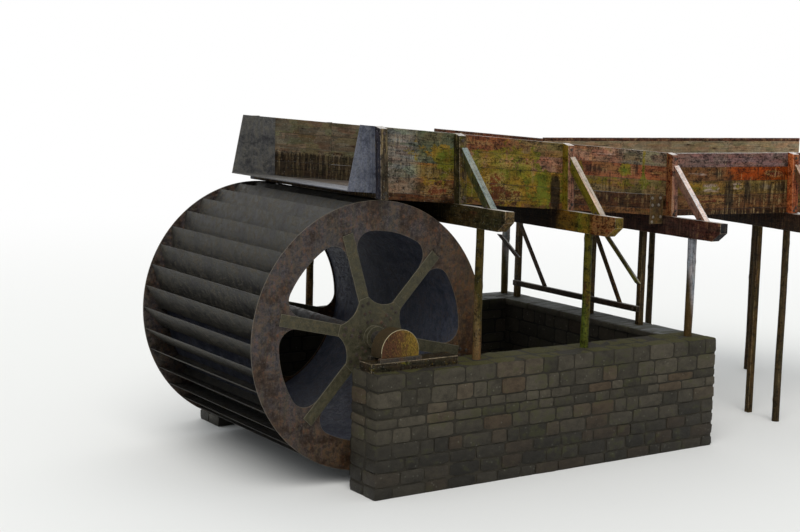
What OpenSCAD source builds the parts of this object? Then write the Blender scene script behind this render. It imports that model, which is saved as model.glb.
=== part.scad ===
// Overshot watermill: a steel bucket wheel in a masonry pit, fed from above by a raised timber flume.
// Inside the modules x runs upstream from the wheel axis, y runs away from the near shroud and z is
// measured from the wheel axis. The finished part stands on z = 0 with its origin at mid length.

/* [Wheel] */
// Radius of the wheel over its shrouds
wheel_r = 1800; // [1600:10:1900]
// Width of the wheel over its shrouds
wheel_w = 3300; // [2600:10:3600]
// Thickness of a shroud plate
shroud_t = 12; // [6:1:20]
// Radial width of a shroud ring
ring_w = 400; // [300:5:480]
// Number of arms on each side
arm_count = 6; // [5:1:8]
// Turn of the first arm from upright
arm_turn = -17; // [-30:1:30]
// Width of an arm
arm_w = 160; // [100:5:200]
// Thickness of an arm
arm_t = 16; // [8:1:30]
// Radius of the fillet between an arm and the ring
gusset_r = 220; // [150:5:260]
// Distance from the axis to the inner end of an arm
arm_inner_r = 235; // [220:5:300]
// How far an arm laps over the ring
arm_lap = 30; // [10:5:150]

/* [Hub and shaft] */
// Radius of the shaft
shaft_r = 90; // [60:5:110]
// Radius of the hub plate over its lobes
hub_plate_r = 545; // [480:5:600]
// Radius of the hub plate between two lobes
hub_waist_r = 440; // [400:5:460]
// Radius of the scallop between two lobes
scallop_r = 360; // [300:5:420]
// Thickness of the hub plate
hub_plate_t = 14; // [8:1:24]
// Outer radius of the hub collar
collar_r = 150; // [125:5:200]
// Length of the hub collar outside the hub plate
collar_l = 80; // [30:5:110]
// Radial clearance of the shaft in its bores
shaft_fit = 0.05; // [0.02:0.01:0.1]
// How far the shaft stands out of its bearings
shaft_end = 10; // [5:1:20]

/* [Buckets] */
// Number of buckets round the wheel
bucket_count = 36; // [24:1:44]
// Thickness of the bucket plates and of the drum
bucket_t = 6; // [4:1:12]
// How far the drum lies outside the inner edge of the ring
drum_lap = 30; // [12:1:60]
// Length of the straight inner part of a bucket
bucket_root = 110; // [60:5:160]
// Sweep of the slanted outer part of a bucket in degrees
bucket_sweep = 11; // [6:1:16]
// Gap from the bucket edge to the wheel's outer radius
bucket_edge = 10; // [5:1:40]
// Gap at the root of a bucket, in place of its weld
weld_gap = 0.3; // [0.2:0.1:1]

/* [Wheel pit] */
// Free space between a shroud and the pit wall
pit_side = 250; // [200:10:320]
// Thickness of the side walls of the pit
pit_wall_t = 600; // [560:10:800]
// Thickness of the upstream end wall
pit_end_t = 500; // [420:10:700]
// Height of the wheel axis above the top of the pit
pit_top_drop = 330; // [300:5:420]
// Depth of the pit below the wheel
pit_clear = 150; // [50:10:400]
// How far the side walls run downstream of the wheel axis
pit_front = 450; // [420:10:900]
// Thickness of the coping slab on the end wall
coping_t = 100; // [60:5:160]
// Overhang of the coping slab into the pit
coping_lip = 40; // [10:5:100]

/* [Bearings] */
// Height of the timber sill under a bearing
sill_h = 120; // [80:5:150]
// Width of the timber sill under a bearing
sill_w = 300; // [260:5:400]
// Length of the timber sill under a bearing
sill_l = 1350; // [900:10:1600]
// Height of the steel rails under a bearing
rail_h = 50; // [20:5:70]
// Width of one steel rail
rail_w = 60; // [40:5:80]
// Length of the steel rails
rail_l = 640; // [600:10:800]
// Outer radius of the bearing housing
housing_r = 140; // [120:5:150]
// Length of the bearing housing along the shaft
housing_l = 150; // [100:5:170]
// Length of the foot of the bearing housing
foot_l = 400; // [340:10:500]
// Height of the foot of the bearing housing
foot_h = 36; // [20:2:50]
// How far the pedestal spreads past the housing at its foot
pedestal_spread = 20; // [5:5:40]
// Angle below level at which the pedestal meets the housing
pedestal_angle = 35; // [25:1:45]
// Outer radius of the half-round bearing cover
cover_r = 285; // [260:5:300]
// Length of the bearing cover along the shaft
cover_l = 250; // [220:5:280]
// Thickness of the cover sheet
cover_t = 6; // [3:1:10]
// Height of the straight sides of the cover
cover_side = 70; // [30:5:90]
// Gap between the cover and the foot of the bearing
cover_gap = 5; // [2:1:10]

/* [Flume] */
// How far the channel of the flume is narrower than the buckets on each side
channel_in = 18; // [5:1:60]
// Height of a side wall
wall_h = 942; // [700:1:1100]
// Height of the rail board that raises the far side from the second frame on
far_rail_h = 58; // [5:1:120]
// Thickness of the side boards
board_t = 50; // [35:1:70]
// Thickness of the floor boards
floor_t = 75; // [40:1:90]
// Gap between the wheel and the flume above it
flume_gap = 17; // [14:1:120]
// Rise of the flume toward the wheel in degrees
flume_rise = 4.4; // [0:0.1:5]
// Turn of the approach flume toward the near side in degrees
bend = 7.2; // [2:0.1:12]
// Gap between the boards at the bend
joint_gap = 8; // [7:1:15]
// Distance from the wheel axis to the first frame
frame_1 = 1333; // [1250:1:1500]
// Distance from the wheel axis to the second frame
frame_2 = 3224; // [2900:1:3500]
// Distance from the wheel axis to the third frame, at the bend
frame_3 = 5244; // [4900:1:5500]
// Length of one bay of the approach flume
bay = 2334; // [1900:1:2600]
// Number of bays of the approach flume
bay_count = 2; // [1:1:3]
// Length of the flume past its last frame
flume_tail = 700; // [120:5:900]

/* [Spout] */
// How far the lip of the spout reaches past the axis at its foot
lip_foot = 410; // [200:5:500]
// How far the lip of the spout reaches past the axis at its top
lip_top = 235; // [100:5:400]
// How far the spout runs into the timber flume
spout_lap = 300; // [150:10:500]
// Thickness of the spout plates
spout_t = 12; // [6:1:20]
// Width of the steel angle at the mouth of the timber flume
stiffener_w = 45; // [30:1:48]

/* [Frames] */
// Width of a side post along the flume
post_w = 115; // [90:5:150]
// Depth of a side post across the flume
post_d = 130; // [80:5:150]
// Height of a side post above the boards
post_cap = 12; // [5:1:60]
// How far the top of a side post falls from the boards to its front
cap_fall = 30; // [0:1:60]
// How far a side post stands downstream of the middle of its beam
post_shift = 25; // [0:1:30]
// Lean of a side post and its brace toward the wheel in degrees
post_lean = 2.4; // [0:0.1:4]
// Place of the first side post from the wheel axis
first_post = 75; // [70:5:200]
// How far a cross-beam reaches past the flume on each side
beam_out = 1120; // [900:10:1300]
// Width of a cross-beam
beam_w = 150; // [130:5:200]
// Depth of a cross-beam
beam_d = 280; // [180:5:300]
// Height of the chamfer under the end of a cross-beam
beam_cut = 130; // [40:5:150]
// Length of the chamfer under the end of a cross-beam
beam_cut_l = 160; // [60:5:220]
// Thickness of a brace along the flume
brace_w = 95; // [50:5:110]
// Depth of a brace in its own plane
brace_d = 130; // [70:5:150]
// How far the head of a brace lies below the top of the boards
brace_head = 175; // [100:5:300]
// How far the foot of a brace lies from the end of its beam
brace_foot = 335; // [100:5:400]
// Gap between two timbers that bear on each other
seat_gap = 0.3; // [0.2:0.1:1]

/* [Supports] */
// Radius of a log post
log_r = 60; // [45:1:75]
// Distance from the flume to its near log posts
log_out = 500; // [480:5:600]
// Distance from the flume to its far log posts
far_log_out = 620; // [480:5:700]
// How far the near logs of the approach stand in under it
approach_log_in = 60; // [0:5:300]
// How far the square posts of the approach stand in under it
approach_post_in = 720; // [500:10:1200]
// Distance from the approach to its far logs
approach_log_out = 230; // [0:5:500]
// Width of a square trestle post
trestle_w = 90; // [80:5:140]
// Place of the near trestle post across the flume
trestle_near = 550; // [400:10:700]
// Place of the middle trestle post across the flume
trestle_mid = 1700; // [1400:10:1900]
// Distance from the far trestle post to the far side of the flume
trestle_far = -255; // [-280:5:200]
// Depth of the low tie beam of the trestle
tie_d = 90; // [60:5:120]
// Thickness of the low tie beam of the trestle
tie_w = 60; // [40:5:80]
// Height of the low tie beam above the coping
tie_up = 210; // [40:5:260]
// Width of a trestle strut
strut_w = 70; // [40:5:90]
// Thickness of a trestle strut
strut_t = 32; // [20:1:50]
// Length of the steel plate at the bend
plate_l = 255; // [120:5:320]
// Height of the steel plate at the bend
plate_h = 445; // [250:5:500]
// Thickness of the steel plate at the bend
plate_t = 10; // [5:1:16]
// How far the steel plate hangs below the boards
plate_drop = 118; // [60:1:160]
// Gap between the steel plate and the cross-beam
plate_gap = 80; // [50:1:120]

/* [Hidden] */
$fn = 96;

ring_r = wheel_r - ring_w;
drum_r = ring_r + drum_lap;
mid_y = wheel_w / 2;
base_z = -(wheel_r + pit_clear);
pit_top = -pit_top_drop;
pit_near_y = -pit_side;
bearing_y = -(pit_side + pit_wall_t / 2);
sill_top = pit_top + sill_h;
rail_top = sill_top + rail_h;
foot_w = cover_l - 2 * (cover_t + cover_gap);
scallop_y = hub_waist_r + scallop_r;

flume_w = wheel_w - 2 * (shroud_t + channel_in) + 2 * board_t;
near_y = mid_y - flume_w / 2;
far_y = mid_y + flume_w / 2;
under_0 = wheel_r + flume_gap;
frames = [frame_1, frame_2, frame_3];
bend_shift = flume_w * tan(bend / 2);
approach_l = bay * bay_count + flume_tail;
log_near_y = near_y - log_out;
log_far_y = far_y + far_log_out;
beam_l = flume_w + 2 * beam_out;
trestle_ys = [near_y + trestle_near, near_y + trestle_mid, far_y - trestle_far];
pit_end_x = frame_3 - pit_end_t / 2;
pit_back_x = frame_3 + pit_end_t / 2;
tie_top = pit_top + tie_up + tie_d;
trestle_side = frame_3 - trestle_w / 2;
approach_z = under(frame_3);
beam_3_foot = approach_z - beam_d;

// Struts of the trestle: the post at the head, the head's offset from it and drop below the beam,
// the post at the foot, the foot's offset from it and height above the tie
struts = [
    [2, 400, 430, 2, -120, 400],
    [2, 0, 0, 2, -850, 0],
    [1, -80, 0, 0, 350, 0],
    [1, -260, 0, 0, -60, 350]
];

// The part's own middle, from the rim of the wheel to the last cross-beam or the end of the far wall
last_beam_x = frame_3 + (bay * bay_count + beam_w / 2) * cos(bend) + (flume_w + beam_out) * sin(bend);
last_beam_y = near_y - (bay * bay_count + beam_w / 2) * sin(bend) - beam_out * cos(bend);
wall_end_x = frame_3 + approach_l * cos(bend) + flume_w * sin(bend);
centre_x = (max(last_beam_x, wall_end_x) - wheel_r) / 2;
centre_y = (far_y + beam_out + last_beam_y) / 2;

// Underside of the wheel flume, and of everything level with it, at a distance x from the axis
function under(x) = under_0 - x * tan(flume_rise);

// A point of the approach flume: s along it from the bend and t across it from its near face
function approach(s, t) = [
    frame_3 + s * cos(bend) + t * sin(bend),
    near_y - s * sin(bend) + t * cos(bend)
];

module placed() translate([-centre_x, -centre_y, -base_z]) children();

module mirrored() translate([0, 2 * mid_y, 0]) mirror([0, 1, 0]) children();

module along_y(y0, y1) translate([0, y1, 0]) rotate([90, 0, 0]) linear_extrude(y1 - y0) children();

module along_x(x0, x1) translate([x0, 0, 0]) rotate([90, 0, 90]) linear_extrude(x1 - x0) children();

module box(x, y, z) {
    translate([x[0], y[0], z[0]])
        cube([x[1] - x[0], y[1] - y[0], z[1] - z[0]]);
}

module on_approach() translate([frame_3, near_y, 0]) rotate([0, 0, -bend]) children();

// A band along the sloping flume, between two heights above its underside
module flume_band(x0, x1, z0, z1) {
    polygon([
        [x0, under(x0) + z0],
        [x1, under(x1) + z0],
        [x1, under(x1) + z1],
        [x0, under(x0) + z1]
    ]);
}

// Each arm direction in turn, with the arm's own axis along the second axis of the plane
module each_arm() {
    for (i = [0 : arm_count - 1])
        rotate(-arm_turn - i * 360 / arm_count)
            children();
}

// Wheel

module gusset() {
    fillet_x = arm_w / 2 + gusset_r;
    fillet_y = sqrt(pow(ring_r - gusset_r, 2) - pow(fillet_x, 2));
    spread = asin(fillet_x / (ring_r - gusset_r));
    reach = ring_r + ring_w / 2;
    difference() {
        polygon([
            [-arm_w / 2, fillet_y],
            [arm_w / 2, fillet_y],
            [ring_r * sin(spread), ring_r * cos(spread)],
            [reach * sin(spread), reach * cos(spread)],
            [-reach * sin(spread), reach * cos(spread)],
            [-ring_r * sin(spread), ring_r * cos(spread)]
        ]);
        for (side = [-1, 1])
            translate([side * fillet_x, fillet_y])
                circle(gusset_r);
    }
}

module shroud() {
    along_y(0, shroud_t) {
        difference() {
            circle(wheel_r, $fn = 180);
            circle(ring_r, $fn = 180);
        }
        each_arm() gusset();
    }
}

module near_shroud() color("#5b5247") placed() shroud();

module far_shroud() color("#5b5247") placed() mirrored() shroud();

module arms() {
    arm_l = ring_r + arm_lap - arm_inner_r;
    along_y(-arm_t, 0)
        each_arm()
            translate([-arm_w / 2, arm_inner_r])
                square([arm_w, arm_l]);
}

module near_arms() color("#6d6552") placed() arms();

module far_arms() color("#6d6552") placed() mirrored() arms();

// Hub plate with a lobe on each arm, and the collar that grips the shaft
module hub() {
    half = 180 / arm_count;
    difference() {
        union() {
            along_y(-arm_t - hub_plate_t, -arm_t)
                difference() {
                    circle(hub_plate_r);
                    each_arm()
                        rotate(half)
                            translate([0, scallop_y])
                                circle(scallop_r);
                }
            along_y(-arm_t - hub_plate_t - collar_l, 0)
                circle(collar_r);
        }
        along_y(-arm_t - hub_plate_t - collar_l - 1, 1)
            circle(shaft_r + shaft_fit);
    }
}

module near_hub() color("#57544a") placed() hub();

module far_hub() color("#57544a") placed() mirrored() hub();

module wheel_shaft() {
    reach = housing_l / 2 + shaft_end;
    color("#3c3a38") placed()
        along_y(bearing_y - reach, wheel_w - bearing_y + reach)
            circle(shaft_r);
}

module wheel_drum() {
    color("#2b2d30") placed()
        along_y(shroud_t, wheel_w - shroud_t)
            difference() {
                circle(drum_r, $fn = 180);
                circle(drum_r - bucket_t, $fn = 180);
            }
}

// One bent bucket plate: straight out from the drum, then slanted back against the turn of the wheel
module bucket() {
    knee_r = drum_r + bucket_root;
    edge_r = wheel_r - bucket_edge;
    half_t = bucket_t / 2;
    edge = [edge_r * sin(bucket_sweep), edge_r * cos(bucket_sweep)];
    lean = atan2(edge[0], edge[1] - knee_r);
    knee_x = half_t / cos(lean / 2) * cos(lean / 2);
    knee_y = half_t * tan(lean / 2);
    polygon([
        [-half_t, drum_r + weld_gap],
        [half_t, drum_r + weld_gap],
        [knee_x, knee_r - knee_y],
        edge + half_t * [cos(lean), -sin(lean)],
        edge - half_t * [cos(lean), -sin(lean)],
        [-knee_x, knee_r + knee_y]
    ]);
}

module buckets() {
    color("#4a443c") placed()
        along_y(shroud_t, wheel_w - shroud_t)
            for (i = [0 : bucket_count - 1])
                rotate(-i * 360 / bucket_count)
                    bucket();
}

// Wheel pit

module pit_wall() {
    color("#6b6a60") placed()
        children();
}

module side_wall() {
    box([-pit_front, pit_back_x], [pit_near_y - pit_wall_t, pit_near_y], [base_z, pit_top]);
}

module near_pit_wall() pit_wall() side_wall();

module far_pit_wall() pit_wall() mirrored() side_wall();

module end_pit_wall() {
    pit_wall()
        box([pit_end_x, pit_back_x], [pit_near_y, wheel_w + pit_side], [base_z, pit_top - coping_t]);
}

module end_coping() {
    color("#8f9494") placed()
        box([pit_end_x - coping_lip, pit_back_x], [pit_near_y, wheel_w + pit_side],
            [pit_top - coping_t, pit_top]);
}

// Bearings

module sill() {
    box([-pit_front, sill_l - pit_front], [bearing_y - sill_w / 2, bearing_y + sill_w / 2],
        [pit_top, sill_top]);
}

module near_sill() color("#4f5138") placed() sill();

module far_sill() color("#4f5138") placed() mirrored() sill();

module rails() {
    for (side = [-1, 1]) {
        rail_y = bearing_y + side * (sill_w - rail_w) / 2;
        box([-rail_l / 2, rail_l / 2], [rail_y - rail_w / 2, rail_y + rail_w / 2], [sill_top, rail_top]);
    }
}

module near_rails() color("#33312e") placed() rails();

module far_rails() color("#33312e") placed() mirrored() rails();

// Plummer block: a foot across both rails, a pedestal with sloping sides and a round housing
module bearing() {
    foot_top = rail_top + foot_h;
    seat_x = housing_r * cos(pedestal_angle);
    seat_z = -housing_r * sin(pedestal_angle);
    difference() {
        union() {
            box([-foot_l / 2, foot_l / 2], [bearing_y - foot_w / 2, bearing_y + foot_w / 2],
                [rail_top, foot_top]);
            along_y(bearing_y - housing_l / 2, bearing_y + housing_l / 2) {
                circle(housing_r);
                polygon([
                    [-housing_r - pedestal_spread, rail_top],
                    [housing_r + pedestal_spread, rail_top],
                    [seat_x, seat_z],
                    [-seat_x, seat_z]
                ]);
            }
        }
        along_y(bearing_y - housing_l, bearing_y + housing_l)
            circle(shaft_r + shaft_fit);
    }
}

module near_bearing() color("#3a3733") placed() bearing();

module far_bearing() color("#3a3733") placed() mirrored() bearing();

module cover_outline(r, side) {
    spring_z = rail_top + cover_side;
    intersection() {
        translate([0, spring_z])
            circle(r);
        translate([-r, spring_z])
            square([2 * r, r]);
    }
    translate([-r, rail_top])
        square([2 * r, side]);
}

// Half-round sheet hood, closed on its outer face and open toward the wheel
module bearing_cover() {
    y0 = bearing_y - cover_l / 2;
    y1 = bearing_y + cover_l / 2;
    difference() {
        along_y(y0, y1)
            cover_outline(cover_r, cover_side);
        along_y(y0 + cover_t, y1 + 1)
            translate([0, -1])
                cover_outline(cover_r - cover_t, cover_side + 1);
    }
}

module near_bearing_cover() color("#a8662a") placed() bearing_cover();

module far_bearing_cover() color("#a8662a") placed() mirrored() bearing_cover();

// Flume

module spout_side() {
    along_y(near_y + board_t, near_y + board_t + spout_t)
        polygon([
            [-lip_foot, under(-lip_foot) + floor_t],
            [spout_lap, under(spout_lap) + floor_t],
            [spout_lap, under(spout_lap) + wall_h],
            [-lip_top, under(-lip_top) + wall_h]
        ]);
    along_y(near_y, near_y + board_t)
        flume_band(-stiffener_w, 0, floor_t, wall_h);
}

module spout() {
    color("#3f4750") placed() {
        spout_side();
        mirrored() spout_side();
        along_y(near_y + board_t, far_y - board_t)
            flume_band(-lip_foot, spout_lap, floor_t, floor_t + spout_t);
    }
}

module near_flume_wall() {
    color("#6e5a3c") placed()
        along_y(near_y, near_y + board_t)
            flume_band(0, frame_3 - joint_gap, seat_gap, wall_h);
}

module far_flume_wall() {
    end_x = frame_3 + bend_shift - joint_gap;
    color("#6e5a3c") placed()
        along_y(far_y - board_t, far_y) {
            flume_band(0, end_x, seat_gap, wall_h);
            flume_band(frame_2, end_x, seat_gap, wall_h + far_rail_h);
        }
}

module flume_floor() {
    color("#5a4b38") placed()
        along_y(near_y + board_t, far_y - board_t)
            flume_band(0, frame_3 - joint_gap, seat_gap, floor_t);
}

module near_approach_wall() {
    color("#7d5030") placed() on_approach()
        box([joint_gap, approach_l], [0, board_t], [approach_z + seat_gap, approach_z + wall_h]);
}

module far_approach_wall() {
    color("#7d5030") placed() on_approach()
        box([joint_gap - bend_shift, approach_l], [flume_w - board_t, flume_w],
            [approach_z + seat_gap, approach_z + wall_h + far_rail_h]);
}

// Floor boards of the approach, cut to the line of the bend
module approach_floor() {
    near_t = board_t + seat_gap;
    far_t = flume_w - board_t - seat_gap;
    color("#5a4b38") placed()
        translate([0, 0, approach_z + seat_gap])
            linear_extrude(floor_t - seat_gap)
                polygon([
                    [frame_3 + joint_gap, near_y + near_t],
                    approach(approach_l, near_t),
                    approach(approach_l, far_t),
                    approach(joint_gap - far_t * tan(bend / 2), far_t),
                    [frame_3 + joint_gap, far_y - board_t - 2 * joint_gap]
                ]);
}

// Frames

// A square post with its back on the plane y = 0, leaning downstream, its top falling to the front
module leaning_post(x, left_z, right_z, top_z) {
    half = post_w / 2;
    lean = (top_z - left_z) * tan(post_lean);
    intersection() {
        along_y(-post_d, 0)
            polygon([
                [x - half, left_z],
                [x + half, right_z],
                [x + half - lean, top_z],
                [x - half - lean, top_z]
            ]);
        along_x(x - post_w - lean, x + post_w)
            polygon([
                [-post_d, top_z - 2 * wall_h],
                [0, top_z - 2 * wall_h],
                [0, top_z],
                [-post_d, top_z - cap_fall]
            ]);
    }
}

module side_post(x) {
    foot_x = x - post_shift;
    translate([0, near_y, 0])
        leaning_post(foot_x, under(foot_x - post_w / 2) + seat_gap, under(foot_x + post_w / 2) + seat_gap,
            under(x) + wall_h + post_cap);
}

// Side post at the bend, its back face cut to lie on both walls
module bend_post() {
    intersection() {
        side_post(frame_3);
        translate([0, 0, approach_z - wall_h])
            linear_extrude(3 * wall_h)
                polygon([
                    [frame_3 - wall_h, near_y],
                    [frame_3, near_y],
                    [frame_3 + post_w, near_y - post_w * tan(bend) - seat_gap],
                    [frame_3 + post_w, near_y - 2 * post_d],
                    [frame_3 - wall_h, near_y - 2 * post_d]
                ]);
    }
}

module approach_posts() {
    foot_z = approach_z + seat_gap;
    for (i = [1 : bay_count])
        leaning_post(bay * i - post_shift, foot_z, foot_z, approach_z + wall_h + post_cap);
}

// What stands on the near side of the approach, and the same on its far side
module approach_side() on_approach() children();

module approach_far_side() on_approach() translate([0, flume_w, 0]) mirror([0, 1, 0]) children();

module near_side_posts() {
    color("#6a6138") placed() {
        for (x = [first_post, frame_1, frame_2])
            side_post(x);
        bend_post();
        approach_side() approach_posts();
    }
}

module far_side_posts() {
    color("#6a6138") placed() {
        mirrored()
            for (x = [first_post, frame_1, frame_2, frame_3])
                side_post(x);
        approach_far_side() approach_posts();
    }
}

// Outline of a brace across the flume from its foot on the beam at height 0 to its head on a post,
// carried on below the foot for its cut
module brace_outline() {
    head_y = -post_d - seat_gap;
    head_z = wall_h - brace_head;
    foot_y = brace_foot - beam_out;
    run = head_y - foot_y;
    cut = brace_d * sqrt(run * run + head_z * head_z) / head_z;
    slip = brace_w * run / head_z;
    polygon([
        [foot_y - slip, -brace_w],
        [foot_y + cut - slip, -brace_w],
        [head_y, head_z - cut * head_z / run],
        [head_y, head_z]
    ]);
}

// A brace that leans downstream with its post
module leaning_brace() {
    rotate([0, -post_lean, 0])
        along_x(-brace_w / 2, brace_w / 2)
            brace_outline();
}

module brace(x) {
    translate([0, near_y, 0])
        intersection() {
            translate([x, 0, under(x)])
                leaning_brace();
            along_y(-beam_out, 0)
                flume_band(x - wall_h, x + wall_h, seat_gap, wall_h);
        }
}

module approach_braces() {
    for (i = [1 : bay_count])
        intersection() {
            translate([bay * i, 0, approach_z])
                leaning_brace();
            box([0, approach_l], [-beam_out, 0], [approach_z + seat_gap, approach_z + wall_h]);
        }
}

module near_braces() {
    color("#8f9088") placed() {
        for (x = frames)
            brace(x);
        approach_side() approach_braces();
    }
}

module far_braces() {
    color("#8f9088") placed() {
        mirrored()
            for (x = frames)
                brace(x);
        approach_far_side() approach_braces();
    }
}

// Side outline of a cross-beam from its near end, chamfered under both ends
module beam_outline(top_z, foot_z) {
    polygon([
        [-beam_out, foot_z + beam_cut],
        [-beam_out + beam_cut_l, foot_z],
        [beam_l - beam_out - beam_cut_l, foot_z],
        [beam_l - beam_out, foot_z + beam_cut],
        [beam_l - beam_out, top_z],
        [-beam_out, top_z]
    ]);
}

module beam(x) {
    color("#54482f") placed()
        translate([0, near_y, 0])
            intersection() {
                along_x(x - beam_w / 2, x + beam_w / 2)
                    beam_outline(under(x) + beam_d, under(x) - beam_d);
                along_y(-beam_out, beam_l - beam_out)
                    flume_band(x - beam_w / 2, x + beam_w / 2, -2 * beam_d, 0);
            }
}

module beam_1() beam(frame_1);

module beam_2() beam(frame_2);

module beam_3() beam(frame_3);

module approach_beams() {
    color("#54482f") placed() on_approach()
        for (i = [1 : bay_count])
            along_x(bay * i - beam_w / 2, bay * i + beam_w / 2)
                beam_outline(approach_z, beam_3_foot);
}

// Supports

module log_post(foot_z, head_z) {
    translate([0, 0, foot_z])
        cylinder(h = head_z - foot_z, r = log_r);
}

module flume_logs(y) {
    for (x = frames)
        translate([x, y, 0])
            log_post(pit_top, under(x) - beam_d);
}

module approach_logs(t) {
    on_approach()
        for (i = [1 : bay_count])
            translate([bay * i, t, 0])
                log_post(base_z, beam_3_foot);
}

module near_logs() {
    color("#5d5a3e") placed() {
        flume_logs(log_near_y);
        approach_logs(approach_log_in);
    }
}

module far_logs() {
    color("#5d5a3e") placed() {
        flume_logs(log_far_y);
        approach_logs(flume_w + approach_log_out);
    }
}

// Square posts under the bend and under each approach beam
module trestle_posts() {
    half = trestle_w / 2;
    color("#4d4a3c") placed() {
        for (y = trestle_ys)
            box([frame_3 - half, frame_3 + half], [y - half, y + half], [pit_top, beam_3_foot]);
        on_approach()
            for (i = [1 : bay_count])
                box([bay * i - half, bay * i + half], [approach_post_in - half, approach_post_in + half],
                    [base_z, beam_3_foot]);
    }
}

// Tie nailed on the downstream faces of the trestle posts
module trestle_tie() {
    color("#4d4a3c") placed()
        box([trestle_side - tie_w, trestle_side],
            [trestle_ys[0] - trestle_w / 2, trestle_ys[2]], [tie_top - tie_d, tie_top]);
}

// A flat strut nailed across the posts, between a head and a foot that are cut level
module strut(head, foot) {
    cut = strut_w * norm(head - foot) / (head[1] - foot[1]);
    along_x(trestle_side - strut_t, trestle_side)
        polygon([foot, foot + [cut, 0], head + [cut, 0], head]);
}

// The struts, the outer one housed over the far log
module trestle_struts() {
    color("#4e523b") placed()
        difference() {
            for (s = struts)
                strut([trestle_ys[s[0]] + s[1], beam_3_foot - s[2]],
                    [trestle_ys[s[3]] + s[4], tie_top + s[5]]);
            translate([frame_3, log_far_y, pit_top])
                cylinder(h = beam_3_foot - pit_top, r = log_r + seat_gap);
        }
}

module bend_plate() {
    x1 = frame_3 - beam_w / 2 - plate_gap;
    z0 = under(x1) - plate_drop;
    box([x1 - plate_l, x1], [near_y - plate_t, near_y], [z0, z0 + plate_h]);
}

module bend_plates() {
    color("#4a4440") placed() {
        bend_plate();
        mirrored() bend_plate();
    }
}

near_shroud();
far_shroud();
near_arms();
far_arms();
near_hub();
far_hub();
wheel_shaft();
wheel_drum();
buckets();
near_pit_wall();
far_pit_wall();
end_pit_wall();
end_coping();
near_sill();
far_sill();
near_rails();
far_rails();
near_bearing();
far_bearing();
near_bearing_cover();
far_bearing_cover();
spout();
near_flume_wall();
far_flume_wall();
flume_floor();
near_approach_wall();
far_approach_wall();
approach_floor();
near_side_posts();
far_side_posts();
near_braces();
far_braces();
beam_1();
beam_2();
beam_3();
approach_beams();
near_logs();
far_logs();
trestle_posts();
trestle_tie();
trestle_struts();
bend_plates();
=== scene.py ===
import math
import random

import bmesh
import bpy
from mathutils import Matrix, Vector, noise


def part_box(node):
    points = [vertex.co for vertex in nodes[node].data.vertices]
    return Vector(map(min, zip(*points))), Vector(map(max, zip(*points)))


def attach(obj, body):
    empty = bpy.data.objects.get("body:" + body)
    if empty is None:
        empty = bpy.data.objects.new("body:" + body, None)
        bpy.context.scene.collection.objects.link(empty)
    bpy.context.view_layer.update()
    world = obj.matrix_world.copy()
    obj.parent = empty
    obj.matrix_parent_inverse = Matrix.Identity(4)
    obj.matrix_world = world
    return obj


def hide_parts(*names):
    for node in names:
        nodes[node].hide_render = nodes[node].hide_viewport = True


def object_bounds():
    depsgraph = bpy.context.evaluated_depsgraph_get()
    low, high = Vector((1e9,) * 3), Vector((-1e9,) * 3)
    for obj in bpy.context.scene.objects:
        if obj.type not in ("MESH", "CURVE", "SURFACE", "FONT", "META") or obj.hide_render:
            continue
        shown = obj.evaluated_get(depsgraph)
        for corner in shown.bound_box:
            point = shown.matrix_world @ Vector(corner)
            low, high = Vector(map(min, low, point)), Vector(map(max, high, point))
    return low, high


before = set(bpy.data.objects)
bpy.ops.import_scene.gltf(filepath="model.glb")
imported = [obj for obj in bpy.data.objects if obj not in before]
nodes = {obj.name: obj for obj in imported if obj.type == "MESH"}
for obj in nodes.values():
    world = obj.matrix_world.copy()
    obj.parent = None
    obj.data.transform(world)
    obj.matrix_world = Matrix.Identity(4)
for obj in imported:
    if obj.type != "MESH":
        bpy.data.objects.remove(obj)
cad_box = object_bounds()
scene = bpy.context.scene
scene.view_settings.view_transform = "Standard"

# The view
# A long lens off the downstream corner, a little higher than the flume, turned upstream so that
# the near shroud and the whole length of the flume show.

shaft_low, shaft_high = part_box("wheel_shaft")
eye_place = (shaft_low + shaft_high) / 2 + Vector((-10.315, -17.655, 3.512))
eye_turn = -33.83
eye_fall = 7.68
eye_roll = 1.45

camera = bpy.data.cameras.new("camera")
camera.sensor_width = 36
camera.lens = 66.03
camera.clip_end = 300
eye = bpy.data.objects.new("camera", camera)
scene.collection.objects.link(eye)
turned = Matrix.Rotation(math.radians(eye_turn), 4, "Z")
tipped = Matrix.Rotation(math.radians(90 - eye_fall), 4, "X")
rolled = Matrix.Rotation(math.radians(eye_roll), 4, "Z")
eye.matrix_world = Matrix.Translation(eye_place) @ turned @ tipped @ rolled
scene.camera = eye

# The light
# A white room lights the mill from all round, one broad soft lamp from the front left gives the
# timbers and the wheel their form, and a weak one from behind keeps its far side readable.

def feed(tree, node, inputs):
    """Gives each named input of a node the output of another, or a plain value."""
    for key, value in inputs.items():
        if isinstance(value, bpy.types.NodeSocket):
            tree.links.new(value, node.inputs[key])
        else:
            node.inputs[key].default_value = value


def wired(tree, kind, inputs, **settings):
    """Adds a node to a tree, with its settings and its inputs."""
    added = tree.nodes.new(kind)
    for name, value in settings.items():
        setattr(added, name, value)
    feed(tree, added, inputs)
    return added


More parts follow.
